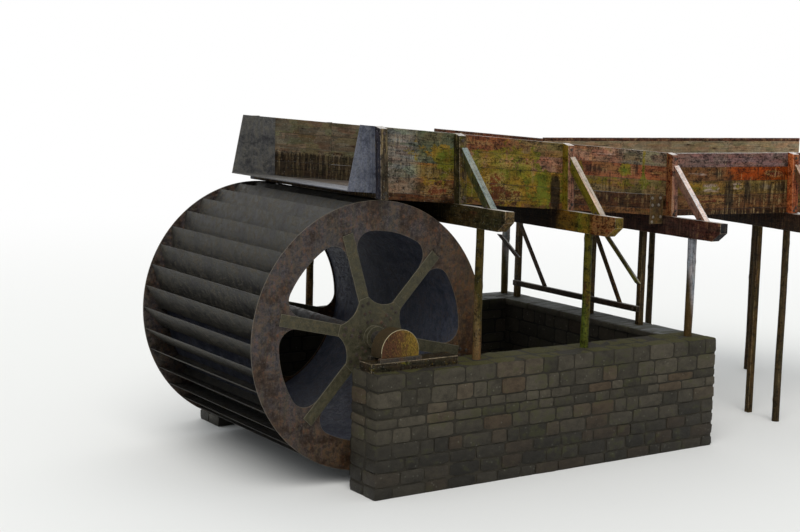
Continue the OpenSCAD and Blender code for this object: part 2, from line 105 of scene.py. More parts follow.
room = bpy.data.worlds.new("room")
scene.world = room
room.use_nodes = True
air = room.node_tree
lit = air.nodes["Background"]
feed(air, lit, {"Color": (0.93, 0.97, 1.0, 1), "Strength": 0.62})
seen = wired(air, "ShaderNodeBackground", {"Color": (1, 1, 1, 1)})
rays = wired(air, "ShaderNodeLightPath", {}).outputs
seen_by = {0: rays["Is Camera Ray"], 1: rays["Is Glossy Ray"]}
camera_or_gloss = wired(air, "ShaderNodeMath", seen_by, operation="MAXIMUM")
seen_by = {0: camera_or_gloss.outputs[0], 1: rays["Is Transmission Ray"]}
any_seen = wired(air, "ShaderNodeMath", seen_by, operation="MAXIMUM")
choices = {0: any_seen.outputs[0], 1: lit.outputs[0], 2: seen.outputs[0]}
choice = wired(air, "ShaderNodeMixShader", choices)
feed(air, air.nodes["World Output"], {"Surface": choice.outputs[0]})

# Each lamp: its power, how many degrees of sky it fills, and its three turns in degrees
lamps = (("lamp", 1.7, 50, 38, -12, -20), ("back_lamp", 0.75, 70, -52, 10, -30))
for label, power, soft, tip, lean, turn in lamps:
    lamp = bpy.data.lights.new(label, "SUN")
    lamp.energy = power
    lamp.angle = math.radians(soft)
    lamp.color = (1.0, 0.98, 0.95)
    lamp_stand = bpy.data.objects.new(label, lamp)
    lamp_stand.rotation_euler = (math.radians(tip), math.radians(lean), math.radians(turn))
    scene.collection.objects.link(lamp_stand)

# The floor
# A plain pale floor under the foot of the pit, which fades to white far from the mill.
# The Finish class comes with it: every material of the mill is built through it.

def paint(red, green, blue):
    """A colour as it is seen, from 0 to 255, in the linear light that the shaders use."""
    parts = []
    for part in (red, green, blue):
        share = part / 255
        parts.append(share / 12.92 if share < 0.04045 else ((share + 0.055) / 1.055) ** 2.4)
    return (*parts, 1.0)


class Finish:
    """One procedural material. Each call adds a node and returns the socket that it feeds from."""

    def __init__(self, name):
        self.made = bpy.data.materials.new(name)
        self.made.use_nodes = True
        self.tree = self.made.node_tree
        self.shader = self.tree.nodes["Principled BSDF"]
        self.place = self.node("ShaderNodeTexCoord").outputs["Object"]

    def node(self, kind, inputs=None, **settings):
        return wired(self.tree, kind, inputs or {}, **settings)

    def read(self, name):
        """A value that the mesh carries at each of its points."""
        return self.node("ShaderNodeAttribute", attribute_name=name)

    def parts(self, vector):
        return self.node("ShaderNodeSeparateXYZ", {0: vector}).outputs

    def scaled(self, vector, sizes):
        """The vector in features of the given sizes in metres, one for all axes or one for each."""
        each = sizes if isinstance(sizes, tuple) else (sizes, sizes, sizes)
        return self.node("ShaderNodeVectorMath", {0: vector, 1: each}, operation="DIVIDE").outputs[0]

    def cloud(self, vector, sizes, detail=5.0, rough=0.6, twist=0.0):
        """Soft noise between 0 and 1 with features of the given sizes in metres."""
        inputs = {"Vector": self.scaled(vector, sizes), "Scale": 1.0}
        inputs.update({"Detail": detail, "Roughness": rough, "Distortion": twist})
        return self.node("ShaderNodeTexNoise", inputs).outputs[0]

    def cells(self, vector, sizes, distance="EUCLIDEAN"):
        """Scattered cells: how far the nearest centre is, and a colour for each cell."""
        inputs = {"Vector": self.scaled(vector, sizes), "Scale": 1.0}
        return self.node("ShaderNodeTexVoronoi", inputs, distance=distance).outputs

    def stirred(self, vector, size, amount):
        """The vector moved about by soft noise, so that what it carries gets a ragged outline."""
        inputs = {"Vector": self.scaled(vector, size), "Scale": 1.0, "Detail": 4.0}
        drift = self.node("ShaderNodeTexNoise", inputs).outputs["Color"]
        inputs = {0: drift, 1: (amount, amount, amount), 2: vector}
        return self.node("ShaderNodeVectorMath", inputs, operation="MULTIPLY_ADD").outputs[0]

    def sum(self, how, one, two=0.0, three=0.0):
        """One sum, of the kind that how names, of up to three values."""
        return self.node("ShaderNodeMath", {0: one, 1: two, 2: three}, operation=how).outputs[0]

    def times(self, one, two):
        return self.sum("MULTIPLY", one, two)

    def weigh(self, start, *pairs):
        """The start plus each value times its weight."""
        total = start
        for value, weight in pairs:
            total = self.sum("MULTIPLY_ADD", value, weight, total)
        return total

    def fade(self, value, low, high, start=0.0, end=1.0):
        """A soft step from start to end as the value goes from low to high."""
        inputs = {"Value": value, "From Min": low, "From Max": high, "To Min": start, "To Max": end}
        return self.node("ShaderNodeMapRange", inputs, interpolation_type="SMOOTHSTEP").outputs[0]

    def mix(self, share, under, over, how="MIX"):
        inputs = {0: share, 6: under, 7: over}
        return self.node("ShaderNodeMix", inputs, data_type="RGBA", blend_type=how).outputs[2]

    def over(self, under, share, strength, tone):
        """A tone laid over a colour where the share says so, no denser than the strength."""
        return self.mix(self.times(share, strength), under, tone)

    def dots(self, size, core, least):
        """Scattered dots, solid out to the core, in those cells whose chance is past the least."""
        distance, chance = self.cells(self.place, size)[:2]
        shown = self.fade(self.parts(chance)[0], least, least + 0.1)
        return self.times(self.fade(distance, core, 0.17, 1.0, 0.0), shown)

    def shade(self, colour, value):
        """The colour made lighter or darker by a value around 1."""
        grey = self.node("ShaderNodeCombineXYZ", {0: value, 1: value, 2: value})
        return self.mix(1.0, colour, grey.outputs[0], "MULTIPLY")

    def upward(self):
        """How far the surface faces up, from -1 to 1."""
        return self.parts(self.node("ShaderNodeNewGeometry").outputs["Normal"])[2]

    def done(self, colour, rough, height, depth, gloss):
        """Joins colour, roughness, gloss and a bump of a depth in metres to the shader."""
        relief = self.node("ShaderNodeBump", {"Distance": depth, "Height": height})
        inputs = {"Base Color": colour, "Roughness": rough, "Normal": relief.outputs[0]}
        feed(self.tree, self.shader, {**inputs, "Specular IOR Level": gloss})
        return self.made


def floor_finish():
    plain = Finish("floor")
    spread = plain.node("ShaderNodeVectorMath", {0: plain.place}, operation="LENGTH").outputs["Value"]
    rays = plain.node("ShaderNodeLightPath").outputs
    shown = plain.sum("MAXIMUM", rays["Is Camera Ray"], rays["Is Glossy Ray"])
    far_off = plain.fade(spread, 9.0, 34.0)
    pale = {"Base Color": paint(232, 232, 230), "Roughness": 0.9, "Specular IOR Level": 0.0}
    feed(plain.tree, plain.shader, pale)
    white = plain.node("ShaderNodeEmission").outputs[0]
    share = plain.times(shown, far_off)
    both = plain.node("ShaderNodeMixShader", {0: share, 1: plain.shader.outputs[0], 2: white})
    feed(plain.tree, plain.tree.nodes["Material Output"], {"Surface": both.outputs[0]})
    return plain.made


floor_reach = 120.0
floor_signs = ((-1, -1), (1, -1), (1, 1), (-1, 1))
floor_corners = [(x * floor_reach, y * floor_reach, 0) for x, y in floor_signs]
floor_mesh = bpy.data.meshes.new("floor")
floor_mesh.from_pydata(floor_corners, [], [(0, 1, 2, 3)])
floor_mesh.materials.append(floor_finish())
floor = bpy.data.objects.new("floor", floor_mesh)
scene.collection.objects.link(floor)

# Pit walls
# Two thick side walls and an end wall of rough coursed stones in two leaves, laid in dark mortar.
# They stand wet and black below, with moss and algae along their tops, and painted shade
# darkens the faces that line the pit.

joint = 0.016
proud = 0.013
course_heights = (0.13, 0.24)
stone_lengths = (0.2, 0.52)
unevenness = 0.045
wall_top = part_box("near_pit_wall")[1].z
pit_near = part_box("near_pit_wall")[1].y - 0.01
pit_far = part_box("far_pit_wall")[0].y + 0.01
pit_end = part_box("end_pit_wall")[0].x + 0.01


def pit_shade(finish):
    """Where the painted shade of the pit lies: 1 on the faces that line the pit, and 0
    outside and on top.
    """
    x, y, z = finish.parts(finish.place)
    past_near = finish.sum("GREATER_THAN", y, pit_near)
    past_far = finish.sum("LESS_THAN", y, pit_far)
    past_end = finish.sum("LESS_THAN", x, pit_end)
    lining = finish.times(past_near, finish.times(past_far, past_end))
    return finish.times(lining, finish.fade(z, wall_top - 0.12, wall_top, 1.0, 0.0))


def stone_finish(name, damp, mossy=0.8, pale_top=0.0):
    """Rough stone that stands wet up to the height damp; the shares say how far moss grows on it
    and how far its top lies bare and pale."""
    stone = Finish(name)
    tone = stone.read("tone").outputs["Fac"]
    high = stone.parts(stone.place)[2]
    coarse = stone.cloud(stone.place, (0.16, 0.16, 0.12), 8.0, 0.68)
    fine = stone.cloud(stone.place, 0.014, 5.0, 0.72)
    film = stone.cloud(stone.place, (0.5, 0.5, 0.35), 6.0, 0.65)
    grey = stone.mix(tone, paint(50, 47, 40), paint(84, 78, 66))
    warm = stone.mix(stone.fade(tone, 0.72, 0.98), grey, paint(72, 61, 48))
    rock = stone.shade(warm, stone.weigh(-0.55, (coarse, 1.7), (fine, 1.2)))
    wet = stone.fade(stone.sum("MULTIPLY_ADD", film, 0.5, high), damp - 0.35, damp + 0.5, 1.0, 0.0)
    rock = stone.over(rock, wet, 0.6, paint(20, 19, 17))
    algae = stone.fade(stone.weigh(0.0, (film, 0.6), (coarse, 0.6)), 0.62, 0.72)
    rock = stone.over(rock, algae, 0.55, paint(54, 55, 32))
    up = stone.upward()
    crown = stone.weigh(0.0, (up, 0.30), (film, 0.5), (coarse, 0.5))
    near_top = stone.fade(high, wall_top - 0.9, wall_top, 0.0, 0.16)
    beds = stone.cloud(stone.place, (0.5, 0.09, 0.05), 6.0, 0.7, 1.0)
    slab_shade = stone.weigh(0.05, (stone.fade(beds, 0.38, 0.60), 1.0), (fine, 0.9))
    slab = stone.shade(paint(112, 116, 122), slab_shade)
    rock = stone.mix(stone.fade(up, 0.6, 0.9, 0.0, pale_top), rock, slab)
    moss = stone.fade(stone.sum("ADD", crown, near_top), 0.80, 0.92)
    tuft = stone.cloud(stone.place, 0.012, 4.0, 0.7)
    green = stone.mix(tuft, paint(38, 36, 20), paint(88, 86, 42))
    rock = stone.over(rock, moss, mossy, green)
    # Painted shade over the faces that line the pit
    rock = stone.over(rock, pit_shade(stone), 0.62, paint(20, 17, 12))
    lichen = stone.fade(stone.cells(stone.place, 0.09)[0], 0.08, 0.15, 1.0, 0.0)
    rock = stone.over(rock, lichen, 0.18, paint(140, 140, 126))
    dry = stone.sum("SUBTRACT", fine, stone.times(wet, 0.35))
    rough = stone.fade(dry, 0.0, 0.6, 0.3, 0.85)
    height = stone.sum("MULTIPLY_ADD", fine, 0.5, stone.sum("MULTIPLY_ADD", tuft, moss, coarse))
    return stone.done(rock, rough, height, 0.014, 0.13)


def mortar_finish():
    mortar = Finish("mortar")
    sand = mortar.cloud(mortar.place, 0.012, 5.0, 0.7)
    film = mortar.cloud(mortar.place, (0.4, 0.4, 0.3), 5.0, 0.6)
    colour = mortar.mix(film, paint(24, 22, 19), paint(58, 54, 44))
    colour = mortar.shade(colour, mortar.sum("MULTIPLY_ADD", sand, 0.9, 0.5))
    # Painted shade over the mortar that lines the pit
    colour = mortar.over(colour, pit_shade(mortar), 0.8, paint(8, 8, 7))
    return mortar.done(colour, 0.85, sand, 0.006, 0.2)


def split(length, least, most, chance):
    """Cuts a length into random stretches, none much shorter than the least."""
    cuts = [0.0]
    while length - cuts[-1] > most:
        cuts.append(cuts[-1] + chance.uniform(least, most))
    if length - cuts[-1] < least * 0.6 and len(cuts) > 1:
        cuts.pop()
    return cuts + [length]


def stones_of(node, run, chance):
    """Places and sizes of the stones of a wall that runs along X (run 0) or Y (run 1)."""
    low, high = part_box(node)
    low = Vector((low.x - proud - joint / 2, low.y - proud - joint / 2, low.z))
    high = Vector((high.x + proud + joint / 2, high.y + proud + joint / 2, high.z + joint / 2 + 0.003))
    through = 1 - run
    laid = []
    courses = split(high.z - low.z, *course_heights, chance)
    for bottom, top in zip(courses, courses[1:]):
        deep = high[through] - low[through]
        middle = deep * chance.uniform(0.4, 0.6)
        for front, back in ((0.0, middle), (middle, deep)):
            ends = split(high[run] - low[run], *stone_lengths, chance)
            for left, right in zip(ends, ends[1:]):
                centre = Vector((0, 0, low.z + (bottom + top) / 2))
                size = Vector((0, 0, top - bottom - joint * chance.uniform(0.6, 1.3)))
                centre[run] = low[run] + (left + right) / 2
                size[run] = right - left - joint * chance.uniform(0.6, 1.3)
                centre[through] = low[through] + (front + back) / 2
                size[through] = back - front - joint
                laid.append((centre, size))
    return laid


def rounded_block():
    """A cube of side 1 with worn corners, cut fine enough to be roughened. The two cuts across
    each side are spread apart, so that its face stays broad and flat."""
    corner_reach = 0.866
    corner_wear = 0.10
    spread = 2.1
    bm = bmesh.new()
    bmesh.ops.create_cube(bm, size=1.0)
    bmesh.ops.subdivide_edges(bm, edges=bm.edges[:], cuts=2, use_grid_fill=True)
    for vert in bm.verts:
        worn = vert.co.length / corner_reach
        vert.co *= 1.0 - corner_wear * worn ** 6
        for axis in range(3):
            if abs(vert.co[axis]) < 0.2:
                vert.co[axis] *= spread
    mesh = bpy.data.meshes.new("rounded_block")
    bm.to_mesh(mesh)
    bm.free()
    return bpy.data.objects.new("rounded_block", mesh)


def new_tree(name, inputs):
    """A Geometry Nodes tree that takes a mesh and the named inputs and gives a mesh."""
    tree = bpy.data.node_groups.new(name, "GeometryNodeTree")
    tree.interface.new_socket("Geometry", in_out="INPUT", socket_type="NodeSocketGeometry")
    for label, kind in inputs.items():
        tree.interface.new_socket(label, in_out="INPUT", socket_type=kind)
    tree.interface.new_socket("Geometry", in_out="OUTPUT", socket_type="NodeSocketGeometry")
    return tree, tree.nodes.new("NodeGroupInput").outputs, tree.nodes.new("NodeGroupOutput")


def named_value(tree, name, kind):
    named = wired(tree, "GeometryNodeInputNamedAttribute", {"Name": name}, data_type=kind)
    return named.outputs["Attribute"]


def coated(tree, shape, finish, result):
    """Ends a tree: the shape in its finish is what it gives."""
    last = wired(tree, "GeometryNodeSetMaterial", {"Geometry": shape, "Material": finish})
    feed(tree, result, {0: last.outputs[0]})
    return tree


def stones_tree():
    """A block on every point, stretched to the size of its stone and made uneven by its seed."""
    inputs = {"Block": "NodeSocketObject", "Unevenness": "NodeSocketFloat"}
    tree, given, result = new_tree("stones", {**inputs, "Finish": "NodeSocketMaterial"})
    block = wired(tree, "GeometryNodeObjectInfo", {"Object": given["Block"]}).outputs["Geometry"]
    size = named_value(tree, "size", "FLOAT_VECTOR")
    laid = {"Points": given["Geometry"], "Instance": block, "Scale": size}
    lay = wired(tree, "GeometryNodeInstanceOnPoints", laid)
    real = wired(tree, "GeometryNodeRealizeInstances", {0: lay.outputs[0]})
    where = wired(tree, "GeometryNodeInputPosition", {}).outputs[0]
    lumps = {"Vector": where, "W": named_value(tree, "seed", "FLOAT"), "Scale": 5.0, "Detail": 3.0}
    uneven = wired(tree, "ShaderNodeTexNoise", lumps, noise_dimensions="4D").outputs["Color"]
    middle = wired(tree, "ShaderNodeVectorMath", {0: uneven, 1: (0.5, 0.5, 0.5)}, operation="SUBTRACT")
    scale = {0: middle.outputs[0], "Scale": given["Unevenness"]}
    amount = wired(tree, "ShaderNodeVectorMath", scale, operation="SCALE")
    pushed = {"Geometry": real.outputs[0], "Offset": amount.outputs[0]}
    push = wired(tree, "GeometryNodeSetPosition", pushed)
    return coated(tree, push.outputs[0], given["Finish"], result)


def grown(name, points, values, tree, inputs):
    """Runs a tree on a cloud of points that carry values, and returns the plain mesh object."""
    cloud = bpy.data.meshes.new(name)
    cloud.from_pydata(points, [], [])
    for label, (kind, numbers) in values.items():
        layer = cloud.attributes.new(label, kind, "POINT")
        if kind == "FLOAT_VECTOR":
            layer.data.foreach_set("vector", [part for vector in numbers for part in vector])
        else:
            layer.data.foreach_set("value", numbers)
    seedling = bpy.data.objects.new(name, cloud)
    scene.collection.objects.link(seedling)
    growth = seedling.modifiers.new(tree.name, "NODES")
    growth.node_group = tree
    wanted = [item for item in tree.interface.items_tree if item.in_out == "INPUT"]
    sockets = {item.name: item.identifier for item in wanted}
    for label, value in inputs.items():
        growth[sockets[label]] = value
    bpy.context.view_layer.update()
    ready = seedling.evaluated_get(bpy.context.evaluated_depsgraph_get())
    mesh = bpy.data.meshes.new_from_object(ready)
    mesh.name = name
    bpy.data.objects.remove(seedling)
    grown_piece = bpy.data.objects.new(name, mesh)
    scene.collection.objects.link(grown_piece)
    return grown_piece


def smooth(mesh, sharp=38):
    """Smooth faces, with the edges past the angle in degrees kept sharp."""
    mesh.polygons.foreach_set("use_smooth", [True] * len(mesh.polygons))
    mesh.set_sharp_from_angle(angle=math.radians(sharp))


def coat(finish, *names):
    """Gives whole nodes a finish."""
    for name in names:
        nodes[name].data.materials.clear()
        nodes[name].data.materials.append(finish)


pit_stone = stone_finish("pit_stone", wall_top * 0.55)
far_stone = stone_finish("far_stone", wall_top * 0.55, 0.35, 0.75)
pit_mortar = mortar_finish()
block = rounded_block()
scene.collection.objects.link(block)
stones = stones_tree()
for wall, run, seed in (("near_pit_wall", 0, 3), ("far_pit_wall", 0, 8), ("end_pit_wall", 1, 5)):
    chance = random.Random(seed)
    laid = stones_of(wall, run, chance)
    values = {
        "size": ("FLOAT_VECTOR", [size for centre, size in laid]),
        "tone": ("FLOAT", [chance.random() for stone in laid]),
        "seed": ("FLOAT", [chance.uniform(0, 50) for stone in laid]),
    }
    wall_finish = far_stone if wall == "far_pit_wall" else pit_stone
    inputs = {"Block": block, "Unevenness": unevenness, "Finish": wall_finish}
    masonry = grown(wall + "_stones", [centre for centre, size in laid], values, stones, inputs)
    smooth(masonry.data, 50)
    for vert in masonry.data.vertices:
        vert.co.z = max(vert.co.z, cad_box[0][2])
    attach(masonry, "structure")
    coat(pit_mortar, wall)
bpy.data.objects.remove(block)

# Flume boards
# The sides are four broad sawn boards over a narrow one in each bay, butted at the posts, and the
# floor is of thick planks laid along the flume. Every board is worn at its edges.

upstream = Vector((1, 0, 0))
approach_low, approach_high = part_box("near_approach_wall")
bend_turn = math.atan2(approach_low.y - approach_high.y, approach_high.x - approach_low.x)


def points_of(node):
    return [vert.co for vert in nodes[node].data.vertices]


def reach_of(points, axis):
    """The lowest and the highest place of some points along an axis."""
    places = [point.dot(axis) for point in points]
    return min(places), max(places)


def corners_of(node, along):
    """The eight outer corners of a straight solid, keyed by end, side and height."""
    across = Vector((-along.y, along.x, 0))
    rounded = {tuple(round(part, 5) for part in point) for point in points_of(node)}
    points = [Vector(point) for point in rounded]
    axes = (along, across, Vector((0, 0, 1)))
    spans = [reach_of(points, axis) for axis in axes]
    found = {}
    for a in (0, 1):
        for b in (0, 1):
            for c in (0, 1):
                signs = (2 * a - 1, 2 * b - 1, 2 * c - 1)

                def outness(point):
                    shares = [
                        (point.dot(axis) - low) / (high - low) for axis, (low, high) in zip(axes, spans)]
                    return sum(sign * share for sign, share in zip(signs, shares))

                found[a, b, c] = max(points, key=outness)
    return found


def place_in(corners, a, b, c):
    """The point at shares a, b and c between the corners."""
    spot = Vector()
    for (i, j, k), corner in corners.items():
        share = (a if i else 1 - a) * (b if j else 1 - b) * (c if k else 1 - c)
        spot += corner * share
    return spot


def wood_layers(bm):
    """The values that a timber's mesh carries for its finish: the place along, across and up its
    grain; its colour, with how far rain has bleached its upper faces and a painted wet sheen lies
    on them; the shares of red heartwood, moss, dark stain and pale weathering, of which less than
    none keeps them off and less than no weathering leaves a calm face; and its marks: an end, an
    edge, which is below naught where painted shadow lies in the joints between boards, and the way
    to its split."""
    layers = bm.verts.layers
    return {
        "grain": layers.float_vector.new("grain"),
        "tint": layers.float_color.new("tint"),
        "weather": layers.float_color.new("weather"),
        "marks": layers.float_vector.new("marks"),
    }


def skin(bm, rings):
    """Faces between rings of points, and one across each end."""
    for one, two in zip(rings, rings[1:]):
        for i in range(len(one)):
            j = (i + 1) % len(one)
            bm.faces.new((one[i], one[j], two[j], two[i]))
    bm.faces.new(rings[0])
    bm.faces.new(rings[-1])


def add_board(bm, layers, corners, spans, weather, tint, chance, worn=0.004, step=0.11):
    """One board between shares of a block: rings of ten points along it, closed at both ends."""
    (a0, a1), (b0, b1), (c0, c1) = spans
    long = (corners[1, 0, 0] - corners[0, 0, 0]).length
    deep = (corners[0, 1, 0] - corners[0, 0, 0]).length
    tall = (corners[0, 0, 1] - corners[0, 0, 0]).length
    half_b = (b1 - b0) * deep / 2
    half_c = (c1 - c0) * tall / 2
    mid_b = (b0 + b1) / 2
    mid_c = (c0 + c1) / 2
    count = max(3, round((a1 - a0) * long / step))
    shift = Vector([chance.uniform(0, 40) for axis in range(3)])
    stations = [a0] + [a0 + (a1 - a0) * i / count for i in range(count + 1)] + [a1]
    stations[1] += worn / long
    stations[-2] -= worn / long
    rings = []
    for number, a in enumerate(stations):
        closing = number in (0, len(stations) - 1)
        inset = worn if closing else 0.0
        along = a * long
        w = worn * (1.0 + 0.9 * noise.noise(Vector((along * 3, shift.x, 0))))
        slack = 0.0016 * noise.noise(Vector((along * 1.5, shift.y, 0)))
        cup = 0.0014 * noise.noise(Vector((along * 0.8, shift.z, 0)))
        outer = half_b - inset
        upper = half_c - inset
        outline = (
            (-outer + w, -upper), (outer - w, -upper), (outer, -upper + w), (outer + cup, 0.0),
            (outer, upper - w), (outer - w, upper), (-outer + w, upper), (-outer, upper - w),
            (-outer + cup, 0.0), (-outer, -upper + w))
        ring = []
        for y, z in outline:
            rim = 0.0011 * noise.noise(Vector((along * 9, y * 20, z * 20)) + shift)
            b = mid_b + (y + slack) / deep
            c = mid_c + (z + rim) / tall
            vert = bm.verts.new(place_in(corners, a, b, c))
            vert[layers["grain"]] = Vector((along, y, z)) + shift
            vert[layers["tint"]] = tint(a, y)
            vert[layers["weather"]] = weather(a, c, y)
            # Painted shadow on the long edges of the board, where it meets its neighbours
            joint_shadow = -1.0 if abs(z) > upper - w / 2 and c1 - c > 0 and tint(a, y)[3] < 0.9 else 0.0
            vert[layers["marks"]] = Vector((1.0 if closing else 0.0, joint_shadow, 1.0))
            ring.append(vert)
        rings.append(ring)
    skin(bm, rings)


class Wood(Finish):
    """Sawn timber. Each method lays one coat over a colour, from the bare grain out to the rain and
    the painted glints and wet sheen that come last; the noises that several coats share are made
    first."""

    def __init__(self, name, rugged):
        super().__init__(name)
        self.grain = self.read("grain").outputs["Vector"]
        self.tint = self.read("tint").outputs
        weather = self.read("weather").outputs
        self.red, self.moss, self.dark = self.parts(weather["Color"])
        self.pale = weather["Alpha"]
        self.end, self.edge, self.aside = self.parts(self.read("marks").outputs["Vector"])
        self.fibre = self.cloud(self.grain, (0.5, 0.020, 0.020), 7.0, 0.7)
        self.fine = self.cloud(self.grain, (0.10, 0.004, 0.004), 4.0, 0.6)
        self.bands = self.cloud(self.grain, (1.2, 0.05, 0.06), 3.0, 0.5, 1.4)
        self.lumps = self.cloud(self.place, (0.11, 0.11, 0.08), 9.0, 0.75)
        self.broad = self.cloud(self.place, (0.36, 0.36, 0.28), 6.0, 0.6)
        self.growth = self.cloud(self.place, (0.17, 0.17, 0.13), 10.0, 0.76)
        self.run = self.cloud(self.place, (0.034, 0.034, 0.42), 7.0, 0.7)
        self.grit = self.cloud(self.place, (0.032, 0.032, 0.026), 5.0, 0.8)
        self.tuft = self.cloud(self.place, 0.010, 4.0, 0.75)
        self.hollows = self.fade(self.lumps, 0.39, 0.61)
        self.grains = self.fade(self.grit, 0.38, 0.62)
        patches = self.cells(self.stirred(self.grain, 0.06, 0.05), (0.26, 0.11, 0.11), "CHEBYCHEV")[1]
        self.lighter, self.greener, self.redder = self.parts(patches)
        self.value = self.light_and_dark(rugged)

    def light_and_dark(self, rugged):
        """A value around 1 from the fibres, hollows and grit, calmer on an unweathered face."""
        strands = self.fade(self.fibre, 0.35, 0.65)
        worth = (
            (strands, 0.46), (self.fine, 0.5), (self.bands, 0.5), (self.hollows, 1.1),
            (self.grains, 1.0))
        value = self.weigh(-1.78 * rugged, *((part, weight * rugged) for part, weight in worth))
        calm = self.fade(self.pale, -1.0, -0.3, 0.35, 1.0)
        return self.sum("MAXIMUM", self.sum("MULTIPLY_ADD", value, calm, 0.95), 0.14)

    def grained(self, red, green, blue):
        """A paint that takes on the light and dark of the surface."""
        return self.shade(paint(red, green, blue), self.value)

    def bare(self, patchy):
        """The timber's own colour, redder along its grain and uneven in patches."""
        blush = self.fade(self.cloud(self.grain, (0.6, 0.08, 0.08), 6.0, 0.65), 0.42, 0.60)
        blushed = self.times(blush, 0.5)
        colour = self.mix(blushed, self.tint["Color"], (1.32, 0.92, 0.72, 1), "MULTIPLY")
        lit = self.fade(self.lighter, 0.1, 0.9, 1.0 - 0.5 * patchy, 1.0 + 0.5 * patchy)
        colour = self.shade(colour, lit)
        greened = self.fade(self.greener, 0.60, 0.66, 0.0, patchy)
        colour = self.mix(greened, colour, (0.84, 1.04, 0.62, 1), "MULTIPLY")
        reddened = self.fade(self.redder, 0.64, 0.70, 0.0, patchy)
        colour = self.mix(reddened, colour, (1.18, 0.82, 0.74, 1), "MULTIPLY")
        return self.shade(colour, self.value)

    def greyed(self, colour):
        """Wood that the sun has turned grey."""
        aged = self.weigh(0.0, (self.broad, 0.5), (self.fibre, 0.5), (self.pale, 0.5))
        return self.over(colour, self.fade(aged, 0.70, 0.86), 0.7, self.grained(138, 122, 112))

    def filmed(self, colour):
        """An ochre and green film of algae, and where it lies."""
        spread = self.weigh(0.0, (self.growth, 0.8), (self.run, 0.2), (self.moss, 0.42))
        film = self.fade(spread, 0.735, 0.775)
        tone = self.mix(self.fade(self.broad, 0.38, 0.62), paint(116, 88, 26), paint(88, 90, 22))
        tone = self.shade(tone, self.fade(self.lighter, 0.1, 0.9, 0.84, 1.16))
        runs = self.fade(self.run, 0.36, 0.64)
        worth = ((runs, 0.25), (self.hollows, 0.75), (self.fine, 0.4), (self.grains, 1.0))
        tone = self.shade(tone, self.weigh(-0.25, *worth))
        return self.over(colour, film, 0.88, tone), film

    def worn_to_heart(self, colour):
        """Red heartwood laid bare, with a pale rim round it."""
        bare = self.weigh(0.0, (self.lumps, 0.75), (self.fibre, 0.25), (self.red, 0.42))
        rim = self.times(self.fade(bare, 0.665, 0.690), self.fade(bare, 0.745, 0.765, 1.0, 0.0))
        rim = self.times(rim, self.fade(self.red, 0.35, 0.8, 0.15, 0.8))
        colour = self.mix(rim, colour, self.grained(158, 130, 78))
        tone = self.mix(self.fade(self.broad, 0.4, 0.6), paint(52, 20, 13), paint(92, 40, 22))
        return self.over(colour, self.fade(bare, 0.75, 0.775), 0.88, self.shade(tone, self.value))

    def knotted(self, colour):
        """Scattered knots, a dark core in a brown ring, and where the cores are."""
        knots = self.cells(self.grain, (0.62, 0.15, 0.15))
        chosen = self.fade(self.parts(knots[1])[0], 0.5, 0.56)
        ring = self.times(self.fade(knots[0], 0.07, 0.2, 1.0, 0.0), chosen)
        core = self.times(self.fade(knots[0], 0.03, 0.085, 1.0, 0.0), chosen)
        colour = self.over(colour, ring, 0.5, paint(70, 36, 18))
        return self.over(colour, core, 0.9, paint(22, 13, 9)), core

    def streaked(self, colour, streaks, dried):
        """Pale dried runs, dark drips and black mould."""
        level = 0.375 * streaks
        dry = self.weigh(
            0.0, (self.run, -0.75 * streaks), (self.lumps, 0.25), (self.dark, 0.13), (self.pale, 0.05))
        dry_run = self.fade(dry, 0.21 - level, 0.27 - level)
        colour = self.over(colour, dry_run, dried, self.grained(142, 122, 84))
        drips = self.weigh(0.0, (self.run, 0.75 * streaks), (self.lumps, 0.3), (self.dark, 0.17))
        stain = self.fade(drips, 0.215 + level, 0.30 + level)
        colour = self.over(colour, stain, 0.8, self.grained(32, 23, 16))
        mouldy = self.weigh(0.0, (self.grit, 0.6), (self.lumps, 0.4), (self.dark, 0.08))
        return self.over(colour, self.fade(mouldy, 0.53, 0.60), 0.6, paint(24, 16, 11))

    def cracked(self, colour):
        """Hair cracks along the grain and the open split of a post, and where they are."""
        thread = self.cloud(self.grain, (0.7, 0.026, 0.026), 2.0, 0.4)
        line = self.sum("ABSOLUTE", self.sum("SUBTRACT", thread, 0.5))
        fine_crack = self.fade(line, 0.004, 0.013, 1.0, 0.0)
        crack = self.times(fine_crack, self.fade(self.bands, 0.48, 0.6))
        wander = self.weigh(-0.02, (self.bands, 0.02), (self.fibre, 0.014), (self.aside, 1.0))
        opened = self.fade(self.sum("ABSOLUTE", wander), 0.0012, 0.0042, 1.0, 0.0)
        split_open = self.times(opened, self.fade(self.broad, 0.34, 0.42))
        crack = self.sum("MAXIMUM", crack, split_open)
        return self.over(colour, crack, 0.85, paint(18, 13, 9)), crack

    def mossed(self, colour):
        """Tufts of moss, and where they are."""
        spread = self.weigh(0.0, (self.growth, 0.7), (self.tuft, 0.3), (self.moss, 0.35))
        lush = self.fade(spread, 0.86, 0.94)
        green = self.mix(self.tuft, paint(44, 52, 14), paint(112, 124, 40))
        return self.over(colour, lush, 0.8, green), lush

    def sawn(self, colour):
        """The year rings of its ends, and its edges: dark with painted shadow where boards meet, pale
        where they are worn.
        """
        sliced = self.node("ShaderNodeVectorMath", {0: self.grain, 1: (0, 1, 1)}, operation="MULTIPLY")
        years = self.node("ShaderNodeVectorMath", {0: sliced.outputs[0]}, operation="LENGTH")
        rings = self.sum("SINE", self.weigh(0.0, (years.outputs["Value"], 900.0), (self.lumps, 9.0)))
        ringed = self.shade(colour, self.sum("MULTIPLY_ADD", rings, 0.2, 0.95))
        colour = self.mix(self.end, colour, ringed)
        # Painted shadow along the joints between boards
        joint_shadow = self.sum("MAXIMUM", self.times(self.edge, -0.85), 0.0)
        colour = self.mix(joint_shadow, colour, paint(20, 14, 9))
        worn = self.sum("MAXIMUM", self.times(self.edge, 0.45), 0.0)
        return self.mix(worn, colour, self.grained(158, 142, 118))

